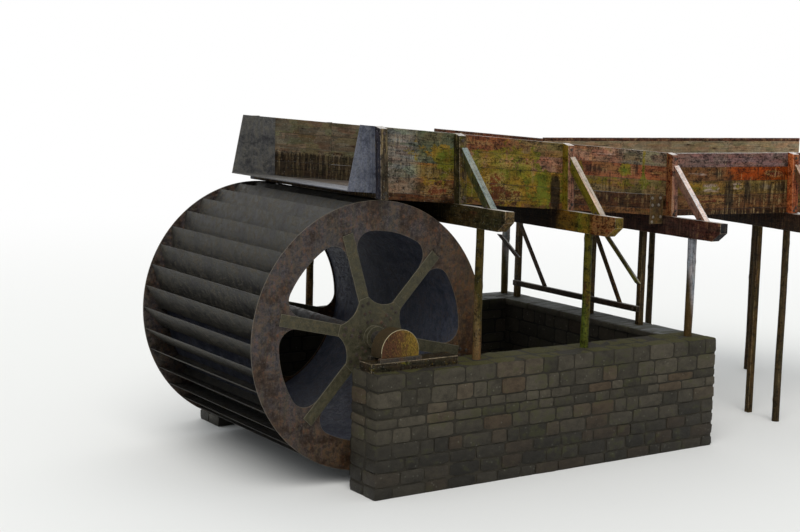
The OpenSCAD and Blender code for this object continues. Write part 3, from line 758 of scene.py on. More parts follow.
    def glints_bleach_and_sheen(self, colour, bleach_and_sheen_from):
        """Specks of spray, painted pale as wet glints, most of all by the wheel, and faces that look up,
        bleached by the rain and given a painted wet sheen.
        """
        by_wheel = self.fade(self.parts(self.place)[0], shaft_low.x, shaft_low.x + 3.4, 0.5, 0.08)
        # Specks of spray, painted pale as wet glints, most of all by the wheel
        colour = self.over(colour, self.dots(0.03, 0.10, 0.3), by_wheel, paint(170, 172, 166))
        # Faces that look up are bleached by the rain and given a painted wet sheen
        up = self.fade(self.upward(), bleach_and_sheen_from, bleach_and_sheen_from + 0.3)
        bleach_and_sheen = self.times(self.tint["Alpha"], self.fade(self.growth, 0.40, 0.66, 0.9, 0.35))
        tone = self.shade(paint(208, 204, 200), self.fade(self.fibre, 0.25, 0.6, 0.72, 1.1))
        return self.over(colour, up, bleach_and_sheen, tone)


def wood_finish(name, streaks=1.0, bleach_and_sheen_from=0.55, dried=0.4, patchy=0.3, rugged=1.0):
    """One kind of timber: the shares set how far its streaks, dried runs, patches and hollows
    show, and how far up a face must look to be bleached by the rain and given a painted wet sheen."""
    wood = Wood(name, rugged)
    colour, film = wood.filmed(wood.greyed(wood.bare(patchy)))
    colour, core = wood.knotted(wood.worn_to_heart(colour))
    colour, crack = wood.cracked(wood.streaked(colour, streaks, dried))
    colour, lush = wood.mossed(colour)
    colour = wood.glints_bleach_and_sheen(wood.sawn(colour), bleach_and_sheen_from)
    rough = wood.fade(wood.weigh(0.0, (wood.lumps, 0.5), (wood.fine, 0.5)), 0.35, 0.65, 0.34, 0.74)
    height = wood.weigh(
        0.0, (wood.fine, 0.5), (wood.fibre, 0.8), (film, 0.25), (crack, -0.9), (core, -0.4))
    height = wood.sum("MULTIPLY_ADD", wood.times(wood.tuft, lush), 1.6, height)
    return wood.done(colour, rough, height, 0.005, 0.07)


def piece(name, bm, finish, slot, *replaced, body="structure", sharp=38):
    """Closes a mesh, gives it its finish and joins it to the mill."""
    bmesh.ops.recalc_face_normals(bm, faces=bm.faces)
    mesh = bpy.data.meshes.new(name)
    bm.to_mesh(mesh)
    bm.free()
    mesh.materials.append(finish)
    smooth(mesh, sharp)
    made = bpy.data.objects.new(name, mesh)
    scene.collection.objects.link(made)
    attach(made, body)
    if replaced:
        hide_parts(*replaced)
    return made


tints = {
    "wet_grey": paint(98, 98, 92),
    "grey_brown": paint(94, 84, 70),
    "green_grey": paint(70, 76, 58),
    "pink_brown": paint(118, 88, 70),
    "red_brown": paint(100, 64, 42),
    "olive_brown": paint(94, 76, 38),
    "purple_grey": paint(91, 72, 70),
    "orange_brown": paint(110, 50, 10),
    "drab": paint(94, 78, 50),
    "brown": paint(86, 60, 36),
    "dark_brown": paint(64, 43, 26),
    "yellow_olive": paint(106, 88, 36),
    "rail": paint(92, 60, 46),
}

# Boards of each bay, from the top board down to the narrow one. Where two names stand, the board
# changes from one to the other halfway. The near side begins with the first bay; the others take
# the same looks from another bay on.
bay_boards = (
    (("wet_grey", "green_grey"), ("wet_grey", "green_grey"), ("wet_grey", "olive_brown"),
     ("grey_brown", "brown"), "dark_brown"),
    (("red_brown", "drab"), "pink_brown", "yellow_olive", "olive_brown", "brown"),
    (("pink_brown", "grey_brown"), "red_brown", "drab", "dark_brown", "brown"),
    ("purple_grey", ("brown", "orange_brown"), "olive_brown", "brown", "dark_brown"),
    ("purple_grey", ("orange_brown", "brown"), "brown", "olive_brown", "brown"),
    ("brown", "red_brown", "brown", "olive_brown", "brown"),
)

# Stains: the bay, the middle along it and up it, the half length and half height as shares of the
# bay, and how much red heartwood, moss, dark stain and pale weathering they bring
stains = (
    (0, 0.88, 0.62, 0.17, 0.22, 0.0, 1.00, 0.0, 0.0),
    (0, 0.60, 0.72, 0.24, 0.18, 0.0, 0.50, 0.0, 0.0),
    (0, 0.80, 0.45, 0.24, 0.06, 0.5, 0.00, 0.6, 0.0),
    (0, 0.74, 0.29, 0.26, 0.08, 0.1, 0.60, 0.0, 0.2),
    (0, 0.78, 0.15, 0.28, 0.09, 0.62, 0.30, 0.3, 0.0),
    (0, 0.25, 0.60, 0.28, 0.50, 0.0, 0.25, 0.2, 0.4),
    (0, 0.98, 0.40, 0.03, 0.60, 0.2, -0.6, 0.9, 0.0),
    (1, 0.50, 0.45, 0.70, 0.60, 0.0, 0.82, 0.0, 0.0),
    (1, 0.16, 0.90, 0.20, 0.09, 0.6, -0.8, 0.4, 0.0),
    (1, 0.62, 0.88, 0.03, 0.09, 0.3, -0.6, 0.4, 0.0),
    (1, 0.90, 0.86, 0.12, 0.10, 0.2, -0.9, 0.0, 0.3),
    (1, 0.20, 0.68, 0.16, 0.08, 0.55, -0.1, 0.0, 0.0),
    (1, 0.46, 0.62, 0.10, 0.07, 0.68, -0.1, 0.0, 0.0),
    (1, 0.64, 0.63, 0.08, 0.06, 0.60, -0.1, 0.0, 0.0),
    (1, 0.87, 0.64, 0.11, 0.07, 0.2, -0.8, 0.1, 0.3),
    (1, 0.34, 0.42, 0.12, 0.12, 0.58, -0.1, 0.0, 0.0),
    (1, 0.40, 0.18, 0.22, 0.14, 0.74, -0.1, 0.2, 0.0),
    (1, 0.70, 0.42, 0.03, 0.20, 0.2, -0.5, 0.5, 0.2),
    (1, 0.75, 0.30, 0.12, 0.19, -0.6, 0.55, -0.4, 0.0),
    (1, 0.910, 0.24, 0.031, 0.26, 0.0, -1.2, 2.1, 0.0),
    (2, 0.55, 0.70, 0.070, 0.08, -0.3, 1.2, 0.0, 0.0),
    (2, 0.73, 0.80, 0.025, 0.30, 0.0, 1.00, 0.0, 0.0),
    (2, 0.12, 0.70, 0.05, 0.08, 0.0, 1.00, 0.0, 0.0),
    (2, 0.26, 0.68, 0.12, 0.06, 0.2, 0.00, 0.8, 0.1),
    (2, 0.64, 0.70, 0.02, 0.10, 0.0, 0.00, 1.2, 0.0),
    (2, 0.87, 0.68, 0.10, 0.07, 0.6, -0.2, 0.1, 0.2),
    (2, 0.55, 0.48, 0.60, 0.09, 0.0, 0.70, 0.25, 0.0),
    (2, 0.13, 0.24, 0.12, 0.09, 0.45, -0.3, -0.3, 0.5),
    (2, 0.60, 0.22, 0.40, 0.16, 0.3, 0.40, 0.40, 0.0),
    (2, 0.40, 0.90, 0.50, 0.10, 0.0, 0.00, -0.5, 0.45),
    (3, 0.50, 0.90, 0.60, 0.10, -0.2, 0.0, -0.7, 0.40),
    (3, 0.20, 0.68, 0.10, 0.07, 0.0, 0.00, 0.0, 0.5),
    (3, 0.38, 0.68, 0.04, 0.06, 0.3, 0.00, 0.9, 0.0),
    (3, 0.70, 0.72, 0.03, 0.05, 0.0, 0.00, 1.2, 0.0),
    (3, 0.17, 0.44, 0.08, 0.09, 0.0, 1.20, 0.0, 0.0),
    (3, 0.32, 0.44, 0.09, 0.09, 0.0, 0.75, -0.2, 0.9),
    (3, 0.49, 0.32, 0.035, 0.24, 0.0, -0.2, 0.95, 0.0),
    (3, 0.64, 0.42, 0.035, 0.16, 0.0, 0.0, 0.9, 0.0),
    (3, 0.55, 0.46, 0.05, 0.09, 0.0, 0.70, -0.2, 0.8),
    (3, 0.80, 0.44, 0.06, 0.09, 0.0, 0.80, 0.0, 0.6),
    (3, 0.84, 0.42, 0.18, 0.12, 0.2, -0.3, 0.6, 0.0),
    (3, 0.86, 0.67, 0.09, 0.08, 0.9, 0.0, 0.5, 0.0),
    (3, 0.94, 0.44, 0.04, 0.09, 0.0, 0.20, 0.8, 0.2),
    (3, 0.30, 0.22, 0.20, 0.09, 0.7, 0.00, 0.1, 0.0),
    (3, 0.75, 0.20, 0.30, 0.10, 0.2, 0.30, 0.5, 0.1),
    (3, 0.50, 0.03, 0.60, 0.06, 0.0, 0.20, 0.6, 0.0),
    (4, 0.40, 0.65, 0.40, 0.20, 0.6, 0.10, 0.2, 0.1),
    (4, 0.60, 0.25, 0.40, 0.20, 0.2, 0.50, 0.4, 0.0),
    (5, 0.50, 0.50, 0.60, 0.50, 0.3, 0.30, 0.4, 0.1),
)

# The edges of the boards as shares of the height of a side, the gap at their ends, and the one
# lower board whose upper edge the rain bleaches and a painted wet sheen covers: its bay and its row
board_edges = (1.0, 0.775, 0.55, 0.325, 0.10, 0.0)
butt_gap = 0.0012
bare_board = (2, 3)


def weather_of(bay, ends, wet_side):
    """Stains of one bay by the shares along the whole wall and up it, with the wet inside."""
    mine = [stain[1:] for stain in stains if stain[0] == bay]

    def weather(a, c, y):
        along = (a - ends[0]) / (ends[1] - ends[0])
        if y * wet_side > 0:
            return (0.0, 0.1, 0.9, 0.1) if c < 0.5 else (0.0, -0.1, -0.8, -1.0)
        total = [0.0, 0.0, 0.0, 0.0]
        for mid_a, mid_c, half_a, half_c, *amounts in mine:
            off = ((along - mid_a) / half_a) ** 4 + ((c - mid_c) / half_c) ** 4
            for channel, amount in enumerate(amounts):
                total[channel] += amount * math.exp(-off)
        return total

    return weather


def tint_of(names, ends, bright, top_bleach_and_sheen, wet_side=0, inside=None):
    """The colour of a board by its share along the wall, and on its wet side, with the share of rain
    bleaching and painted wet sheen on its upper faces.
    """
    pair = names if isinstance(names, tuple) else (names, names)
    first, second = tints[pair[0]], tints[pair[1]]

    def tint(a, y):
        if y * wet_side > 0:
            return (*[part * bright for part in inside[:3]], top_bleach_and_sheen)
        turn = min(max(((a - ends[0]) / (ends[1] - ends[0]) - 0.42) / 0.12, 0.0), 1.0)
        return (*[(one + (two - one) * turn) * bright for one, two in zip(first[:3], second[:3])], top_bleach_and_sheen)

    return tint


near_corners = corners_of("near_flume_wall", upstream)
side_height = near_corners[0, 0, 1].z - near_corners[0, 0, 0].z


def wall_corners(node, along):
    """The corners of a side wall as high as the near one, and of the rail board that raises it."""
    found = corners_of(node, along)
    rise = found[1, 0, 1].z - found[1, 0, 0].z - side_height
    wall = {}
    rail = {}
    for a, b, c in found:
        wall[a, b, c] = found[a, b, 0] + Vector((0, 0, side_height * c))
        rail[a, b, c] = found[a, b, 0] + Vector((0, 0, side_height + rise * c))
    return wall, rail if rise > 0.01 else None


def board_wall(name, node, along, bays, first_bay, wet_side, inside, finish, slot, seed):
    """One side of the flume: the boards of each of its bays, and its rail board."""
    chance = random.Random(seed)
    corners, rail = wall_corners(node, along)
    bm = bmesh.new()
    layers = wood_layers(bm)
    long = (corners[1, 0, 0] - corners[0, 0, 0]).length
    for number, ends in enumerate(zip(bays, bays[1:])):
        bay = (first_bay + number) % len(bay_boards)
        weather = weather_of(bay, ends, wet_side)
        for row, (top, bottom) in enumerate(zip(board_edges, board_edges[1:])):
            spans = (
                (ends[0] + butt_gap / long, ends[1] - butt_gap / long),
                (chance.uniform(0.0, 0.07), chance.uniform(0.93, 1.0)),
                (max(bottom - 0.0005, 0.0), top - chance.uniform(0.0, 0.0004)))
            # How far rain bleaches the board's upper faces and a painted wet sheen lies on them
            top_bleach_and_sheen = 0.8 if (bay, row) == bare_board else 0.12
            if row == 0 and not rail:
                top_bleach_and_sheen = 1.0
            bright = chance.uniform(0.9, 1.12)
            tint = tint_of(bay_boards[bay][row], ends, bright, top_bleach_and_sheen, wet_side, inside)
            add_board(bm, layers, corners, spans, weather, tint, chance, step=0.07)
    if rail:
        low, high = reach_of(points_of(node), along)
        steps = sorted({round((point.dot(along) - low) / (high - low), 4) for point in points_of(node)})
        start = steps[1] if 0.1 < steps[1] < 0.9 else 0.0
        joints = [start] + [share for share in bays[1:-1] if share > start + 0.1] + [1.0]
        for ends in zip(joints, joints[1:]):
            weather = weather_of(5, ends, 0)
            tint = tint_of("rail", ends, chance.uniform(0.9, 1.1), 0.55)
            add_board(bm, layers, rail, (ends, (0.0, 1.0), (0.0, 1.0)), weather, tint, chance, 0.006)
    return piece(name, bm, finish, slot, node)


def shares_along(node, along, places):
    """Places along an axis as shares of a node's length, with its two ends added."""
    low, high = reach_of(points_of(node), along)
    inside = [(place - low) / (high - low) for place in places]
    return [0.0] + [share for share in inside if 0.02 < share < 0.98] + [1.0]


def centre_of(solid):
    """The middle of a solid's box."""
    reaches = zip(*(vert.co for vert in solid.verts))
    return Vector([(min(reach) + max(reach)) / 2 for reach in reaches])


def solids_of(node):
    """The separate solids of a node, each a mesh of its true corners and flat faces."""
    flat_within = math.radians(0.5)
    whole = bmesh.new()
    whole.from_mesh(nodes[node].data)
    bmesh.ops.remove_doubles(whole, verts=whole.verts, dist=1e-5)
    whole.verts.index_update()
    left = set(whole.verts)
    solids = []
    while left:
        group = set()
        search = [next(iter(left))]
        while search:
            vert = search.pop()
            if vert not in group:
                group.add(vert)
                search.extend(edge.other_vert(vert) for edge in vert.link_edges)
        left -= group
        inside = {vert.index for vert in group}
        solid = whole.copy()
        solid.verts.index_update()
        outside = [vert for vert in solid.verts if vert.index not in inside]
        bmesh.ops.delete(solid, geom=outside, context="VERTS")
        bmesh.ops.dissolve_limit(
            solid, angle_limit=flat_within, verts=solid.verts, edges=solid.edges)
        solids.append(solid)
    whole.free()
    solids.sort(key=lambda solid: tuple(round(part, 3) for part in centre_of(solid)))
    return solids


approach_run = Vector((math.cos(bend_turn), -math.sin(bend_turn), 0))
posts = [centre_of(solid) for solid in solids_of("near_side_posts")]
post_places = [post.x for post in posts]
approach_places = [post.dot(approach_run) for post in posts]
flume_wood = wood_finish("flume_wood", patchy=0.42)
approach_wood = wood_finish("approach_wood", dried=0.6, patchy=0.24)
wet_flume = paint(96, 89, 74)
wet_approach = paint(134, 121, 97)

# Each side of the two lengths of the flume: its boards, the way that they run, where the posts
# stand, the first bay's looks, the side that is wet, the wet colour, the finish and the chance
side_walls = (
    ("near_side_boards", "near_flume_wall", upstream, post_places, 0, 1, wet_flume, flume_wood, 11),
    ("far_side_boards", "far_flume_wall", upstream, post_places, 1, -1, wet_flume, flume_wood, 12),
    ("near_approach_boards", "near_approach_wall", approach_run, approach_places, 3, 1, wet_approach,
     approach_wood, 13),
    ("far_approach_boards", "far_approach_wall", approach_run, approach_places, 2, -1, wet_approach,
     approach_wood, 14),
)
for name, node, along, places, first_bay, wet_side, inside, finish, seed in side_walls:
    bays = shares_along(node, along, places)
    slot = "flume_boards" if along is upstream else "approach_boards"
    board_wall(name, node, along, bays, first_bay, wet_side, inside, finish, slot, seed)


def plank_floor(name, node, along, count, finish, slot, seed):
    """The floor of the flume: planks laid along it side by side."""
    chance = random.Random(seed)
    corners = corners_of(node, along)
    bm = bmesh.new()
    layers = wood_layers(bm)

    def weather(a, c, y):
        return (0.15, 0.3, 0.7, 0.0)

    for i in range(count):
        gap = chance.uniform(0.0003, 0.0009)
        spans = ((0.0, 1.0), (i / count + gap, (i + 1) / count - gap), (chance.uniform(0.0, 0.04), 1.0))
        names = chance.choice(("brown", "dark_brown", "olive_brown"))
        tint = tint_of(names, (0.0, 1.0), chance.uniform(0.8, 1.05), 0.1)
        add_board(bm, layers, corners, spans, weather, tint, chance, step=0.3)
    return piece(name, bm, finish, slot, node)


plank_floor("flume_planks", "flume_floor", upstream, 15, flume_wood, "flume_boards", 21)
plank_floor("approach_planks", "approach_floor", approach_run, 15, approach_wood, "approach_boards", 22)

# Posts, braces, beams, trestle and sills
# Squared timbers, each cut, bevelled and weathered on its own. The braces were planed and washed
# pale, with a painted wet sheen on their upper faces, the cross-beams are dark and mossy, and the
# posts have split in drying.


def round_edges(solid, edges, width):
    """Rounds some edges of a solid by a width and returns the faces that this adds."""
    rounded = bmesh.ops.bevel(
        solid, geom=edges, offset=width, offset_type="OFFSET", segments=2, profile=0.6,
        affect="EDGES", clamp_overlap=True)
    return set(rounded["faces"])


def put_in_order(elements, place_of):
    """Sorts the points or the faces of a mesh by their places."""
    ordered = sorted(elements, key=lambda element: tuple(place_of(element)))
    for number, element in enumerate(ordered):
        element.index = number
    elements.sort()


def gather(bm, solid):
    """Adds a finished solid to the mesh of its like. It is put in order first, because cutting
    leaves its points and faces in another order at each run."""
    put_in_order(solid.verts, lambda vert: vert.co)
    put_in_order(solid.faces, lambda face: face.calc_center_median())
    loose = bpy.data.meshes.new("loose")
    solid.to_mesh(loose)
    solid.free()
    bm.from_mesh(loose)
    bpy.data.meshes.remove(loose)


def add_timber(bm, solid, dress, chance, worn=0.006, step=0.14):
    """Bevels one squared solid, cuts it into stations along its length and roughens it a little."""
    longest = max(solid.edges, key=lambda edge: edge.calc_length())
    axis = (longest.verts[1].co - longest.verts[0].co).normalized()
    leaning = Vector((0.31, 0.27, 0.91))
    side = axis.cross(Vector((0, 0, 1)) if abs(axis.z) < 0.9 else leaning).normalized()
    third = axis.cross(side)
    bevelled = round_edges(solid, solid.edges[:], worn)
    layers = wood_layers(solid)
    solid.normal_update()
    for vert in solid.verts:
        flat = [face for face in vert.link_faces if face not in bevelled]
        at_end = any(abs(face.normal.dot(axis)) > 0.7 for face in flat)
        vert[layers["marks"]] = Vector((float(at_end), float(not flat), 1.0))
    low, high = reach_of([vert.co for vert in solid.verts], axis)
    count = int((high - low) / step)
    for i in range(1, count):
        at = low + (high - low) * i / count
        everything = solid.verts[:] + solid.edges[:] + solid.faces[:]
        bmesh.ops.bisect_plane(solid, geom=everything, plane_co=axis * at, plane_no=axis)
    solid.normal_update()
    shift = Vector([chance.uniform(0, 40) for part in range(3)])
    centre = centre_of(solid)
    split_place = 0.014
    for vert in solid.verts:
        off = vert.co - centre
        vert[layers["grain"]] = Vector((off.dot(axis), off.dot(side), off.dot(third))) + shift
        vert[layers["tint"]], vert[layers["weather"]], split = dress(vert.co, vert.normal)
        vert[layers["marks"]].z = off.x - split_place if split else 1.0
        rise = 0.0018 * noise.noise(vert.co * 2.5 + shift) + 0.0010 * noise.noise(vert.co * 11 + shift)
        vert.co += vert.normal * rise
    gather(bm, solid)


def timbers(name, node, finish, slot, look, seed, worn=0.006):
    """Cuts every solid of a node as a timber; look gives each its colours by place and face."""
    chance = random.Random(seed)
    bm = bmesh.new()
    wood_layers(bm)
    for number, solid in enumerate(solids_of(node)):
        add_timber(bm, solid, look(number), chance, worn)
    return piece(name, bm, finish, slot, node)


# Each post: colour and weather of its downstream side, then of its outer side
post_faces = (
    (paint(46, 48, 58), (0.0, 0.0, 0.3, 0.1), paint(66, 60, 48), (0.1, 0.15, 0.4, 0.2)),
    (paint(46, 44, 24), (0.1, 0.45, 0.4, 0.0), paint(68, 60, 36), (0.2, 0.55, 0.35, 0.0)),
    (paint(104, 84, 22), (0.0, 0.65, 0.1, 0.0), paint(124, 88, 70), (0.3, 0.0, 0.1, 0.4)),
    (paint(108, 44, 26), (0.5, 0.0, 0.2, 0.0), paint(126, 92, 80), (0.3, 0.0, 0.15, 0.4)),
    (paint(158, 80, 42), (0.4, 0.0, 0.0, 0.0), paint(132, 74, 48), (0.3, 0.0, 0.1, 0.3)),
    (paint(120, 70, 42), (0.4, 0.1, 0.2, 0.0), paint(104, 68, 50), (0.3, 0.1, 0.3, 0.2)),
)

# Each brace: colour and weather of its upper face, pale from weathering and a painted wet sheen,
# then of its sides
brace_faces = (
    (paint(124, 136, 132), (0.0, 0.15, 0.0, 0.0), paint(56, 62, 36), (0.0, 0.5, 0.4, 0.0)),
    (paint(176, 164, 150), (0.1, 0.1, 0.0, 0.2), paint(96, 90, 26), (0.1, 0.55, 0.1, 0.0)),
    (paint(210, 204, 202), (0.0, 0.0, 0.0, 0.3), paint(122, 94, 80), (0.2, 0.0, 0.1, 0.2)),
    (paint(170, 150, 134), (0.2, 0.0, 0.1, 0.2), paint(104, 72, 50), (0.4, 0.1, 0.2, 0.0)),
    (paint(150, 134, 118), (0.2, 0.1, 0.1, 0.2), paint(96, 72, 48), (0.3, 0.2, 0.2, 0.0)),
)


def two_sided(faces, is_first, split=False):
    """A look with one colour and weather on the faces that are first, and another on the rest."""

    def look(number):
        first_tint, first_weather, other_tint, other_weather = faces[number % len(faces)]

        def dress(place, normal):
            if is_first(normal):
                return first_tint, first_weather, False
            return other_tint, other_weather, split and abs(normal.y) > 0.5

        return dress

    return look


# Each cross-beam from its inner length to its tip: how far from the tip a stretch begins, with the
# colour and weather of the stretch; the last one is the sawn end
beam_faces = {
    "beam_1": (
        (9.0, paint(48, 42, 22), (0.1, 0.3, 0.3, 0.0)), (0.5, paint(46, 44, 24), (0.1, 0.3, 0.3, 0.0)),
        (0.0, paint(92, 80, 50), (0.1, 0.3, 0.5, 0.1))),
    "beam_2": (
        (9.0, paint(34, 24, 15), (0.1, 0.0, 0.3, 0.0)), (1.28, paint(88, 66, 20), (0.1, 0.3, 0.0, 0.0)),
        (0.85, paint(62, 66, 16), (0.0, 0.7, 0.0, 0.0)), (0.46, paint(92, 46, 22), (0.5, 0.0, 0.1, 0.0)),
        (0.0, paint(70, 66, 30), (0.2, 0.7, 0.2, 0.0))),
    "beam_3": (
        (9.0, paint(64, 42, 36), (0.1, 0.0, 0.35, 0.1)), (0.45, paint(66, 42, 36), (0.3, 0.0, 0.2, 0.1)),
        (0.0, paint(30, 31, 36), (0.0, 0.0, 0.2, 0.0))),
    "approach_beams": (
        (9.0, paint(58, 40, 28), (0.2, 0.1, 0.5, 0.0)), (0.0, paint(62, 54, 44), (0.0, 0.1, 0.3, 0.1))),
}


def beam_look(beam):
    """The look of a cross-beam: its sawn ends, and the stretch that a place lies in."""
    *stretches, end = beam_faces[beam]
    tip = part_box(beam)[0].y

    def dress(place, normal):
        if abs(normal.y) > 0.6:
            return end[1], end[2], False
        reached = [stretch for stretch in stretches if place.y - tip < stretch[0]]
        return reached[-1][1], reached[-1][2], False

    return lambda number: dress


def plain_look(colour, weather):
    """The same colour and weather all over each timber."""
    return lambda number: lambda place, normal: (colour, weather, False)


# Each strut, from the near one to the far one
strut_tones = (paint(96, 92, 36), paint(72, 58, 34), paint(54, 42, 28), paint(36, 30, 24))


def strut_look(number):
    return plain_look(strut_tones[number % len(strut_tones)], (0.1, 0.2, 0.1, 0.0))(number)


post_look = two_sided(post_faces, lambda normal: normal.x < -0.5, split=True)
brace_look = two_sided(brace_faces, lambda normal: normal.z > 0.25)
# The fourth number of each colour is how far rain bleaches the upper faces and a painted wet sheen lies
# on them
trestle_look = plain_look(paint(68, 56, 30)[:3] + (0.5,), (0.1, 0.3, 0.3, 0.0))
tie_look = plain_look(paint(46, 38, 28)[:3] + (0.5,), (0.0, 0.1, 0.3, 0.0))
sill_look = plain_look(paint(50, 46, 34)[:3] + (0.0,), (0.1, 0.45, 0.45, 0.0))
post_wood = wood_finish("post_wood", patchy=0.15)
brace_wood = wood_finish("brace_wood", bleach_and_sheen_from=0.9, dried=0.2, patchy=0.0, rugged=0.5)
beam_wood = wood_finish("beam_wood", dried=0.12)
trestle_wood = wood_finish("trestle_wood", dried=0.15)
sill_wood = wood_finish("sill_wood", dried=0.0)
timbers("near_posts", "near_side_posts", post_wood, "side_post_timber", post_look, 31)
timbers("far_posts", "far_side_posts", post_wood, "side_post_timber", post_look, 32)
timbers("near_brace_timbers", "near_braces", brace_wood, "brace_timber", brace_look, 33, 0.004)
timbers("far_brace_timbers", "far_braces", brace_wood, "brace_timber", brace_look, 34, 0.004)
for seed, beam in enumerate(beam_faces, 35):
    timbers(beam + "_timber", beam, beam_wood, "beam_timber", beam_look(beam), seed, 0.009)
timbers("trestle_post_timbers", "trestle_posts", trestle_wood, "trestle_timber", trestle_look, 41)
timbers("trestle_tie_timber", "trestle_tie", trestle_wood, "trestle_timber", tie_look, 42)
timbers("trestle_strut_timbers", "trestle_struts", trestle_wood, "trestle_timber", strut_look, 43, 0.003)
timbers("near_sill_timber", "near_sill", sill_wood, "sill_timber", sill_look, 44, 0.012)
timbers("far_sill_timber", "far_sill", sill_wood, "sill_timber", sill_look, 45, 0.012)

# Log posts
# Peeled round logs, a little crooked, with the stubs of their branches. They carry the ends of
# the cross-beams. Those of the flume stand on the pit walls, those past the bend on the ground.


def add_log(bm, layers, foot, head, radius, tints_up, weather, taper, slant, chance):
    """A round log from foot to head: rings that wander, swell at the knots and taper. Its colour
    goes from that of its foot to that of its shaft, higher up on its downstream side by a slant."""
    foot_tint, shaft_tint = (Vector(tint) for tint in tints_up)
    sides = 20
    length = (head - foot).length
    count = max(4, round(length / 0.07))
    shift = Vector([chance.uniform(0, 40) for axis in range(3)])
    shaded = Vector((-0.83, 0.56, 0.0))
    knots = [
        (chance.uniform(0.1, 0.95) * length, chance.uniform(0, math.tau))
        for i in range(round(length * 2.2))]
    rings = []
    for i in range(count + 1):
        t = i / count
        up = t * length
        bow = noise.noise(Vector((up * 0.8, shift.x, 0)))
        lean = noise.noise(Vector((up * 0.8, 0, shift.y)))
        wander = Vector((bow, lean, 0))
        middle = foot.lerp(head, t) + wander * 0.012 * math.sin(math.pi * t)
        ring = []
        for j in range(sides):
            angle = math.tau * j / sides
            out = Vector((math.cos(angle), math.sin(angle), 0))
            swell = 0.05 * noise.noise(out * 1.3 + Vector((0, 0, up * 1.5)) + shift)
            swell += 0.025 * noise.noise(out * 5 + Vector((0, 0, up * 6)) + shift)
            for knot_up, knot_angle in knots:
                aside = math.atan2(math.sin(angle - knot_angle), math.cos(angle - knot_angle)) * radius
                swell += 0.13 * math.exp(-((up - knot_up) / 0.035) ** 2 - (aside / 0.025) ** 2)
            thick = radius * (0.98 - taper * t + swell)
            vert = bm.verts.new(middle + out * thick)
            vert[layers["grain"]] = Vector((up, out.x * thick, out.y * thick)) + shift
            above_foot = up + 0.12 * noise.noise(out * 2 + shift) - 0.16
            above_foot -= slant * (0.5 + 0.5 * out.dot(shaded))
            vert[layers["tint"]] = foot_tint.lerp(shaft_tint, min(max(above_foot / 0.3, 0.0), 1.0))
            vert[layers["weather"]] = weather
            vert[layers["marks"]] = Vector((0.0, 0.0, 1.0))
            ring.append(vert)
        rings.append(ring)
    skin(bm, rings)


# Each log: colour of its foot and of its shaft, its weather, its taper and the slant of its foot
log_looks = (
    ((paint(90, 73, 46), paint(54, 47, 17)), (0.1, 0.2, 0.1, 0.0), 0.07, 0.7),
    ((paint(66, 76, 24), paint(64, 62, 14)), (0.0, 0.30, 0.0, 0.0), 0.04, 0.5),
    ((paint(66, 55, 32), paint(126, 132, 138)), (0.0, -0.5, -0.5, -0.9), -0.14, 0.7),
    ((paint(56, 46, 28), paint(62, 54, 36)), (0.2, 0.3, 0.4, 0.0), 0.07, 0.0),
    ((paint(56, 46, 28), paint(62, 52, 36)), (0.2, 0.3, 0.4, 0.0), 0.07, 0.0),
)
log_wood = wood_finish("log_wood", 0.6, dried=0.25, patchy=0.2)
for name, node, seed in (("near_log_posts", "near_logs", 51), ("far_log_posts", "far_logs", 52)):
    chance = random.Random(seed)
    bm = bmesh.new()
    layers = wood_layers(bm)
    for number, solid in enumerate(solids_of(node)):
        middle = centre_of(solid)
        points = [vert.co for vert in solid.verts]
        left, right = reach_of(points, upstream)
        bottom, top = reach_of(points, Vector((0, 0, 1)))
        foot = Vector((middle.x, middle.y, bottom))
        head = Vector((middle.x, middle.y, top))
        add_log(bm, layers, foot, head, (right - left) / 2, *log_looks[number], chance)
        solid.free()
    piece(name, bm, log_wood, "log_timber", node, sharp=60)

# Coping
# Pale weathered slabs, split along their beds and laid end to end on the end wall of the pit.
# They are cut as the boards are, but with wider joints and rounder edges.

coping_stone = stone_finish("coping_stone", -2.0, 0.4, 0.8)
chance = random.Random(61)
corners = corners_of("end_coping", Vector((0, 1, 0)))
bm = bmesh.new()
layers = wood_layers(bm)
tone = bm.verts.layers.float.new("tone")
slab_ends = (0.0, 0.19, 0.43, 0.62, 0.84, 1.0)
slab_gap = 0.001
for left, right in zip(slab_ends, slab_ends[1:]):
    before = set(bm.verts)
    spans = ((left + slab_gap, right - slab_gap), (0.0, chance.uniform(0.985, 1.0)), (0.0, 1.0))
    add_board(
        bm, layers, corners, spans, weather=lambda a, c, y: (0, 0, 0, 0),
        tint=lambda a, y: (1, 1, 1, 1), chance=chance, worn=0.012)
    shade_of_slab = chance.uniform(0.3, 0.9)
    for vert in set(bm.verts) - before:
        vert[tone] = shade_of_slab
piece("coping_slabs", bm, coping_stone, "coping_stone", "end_coping")
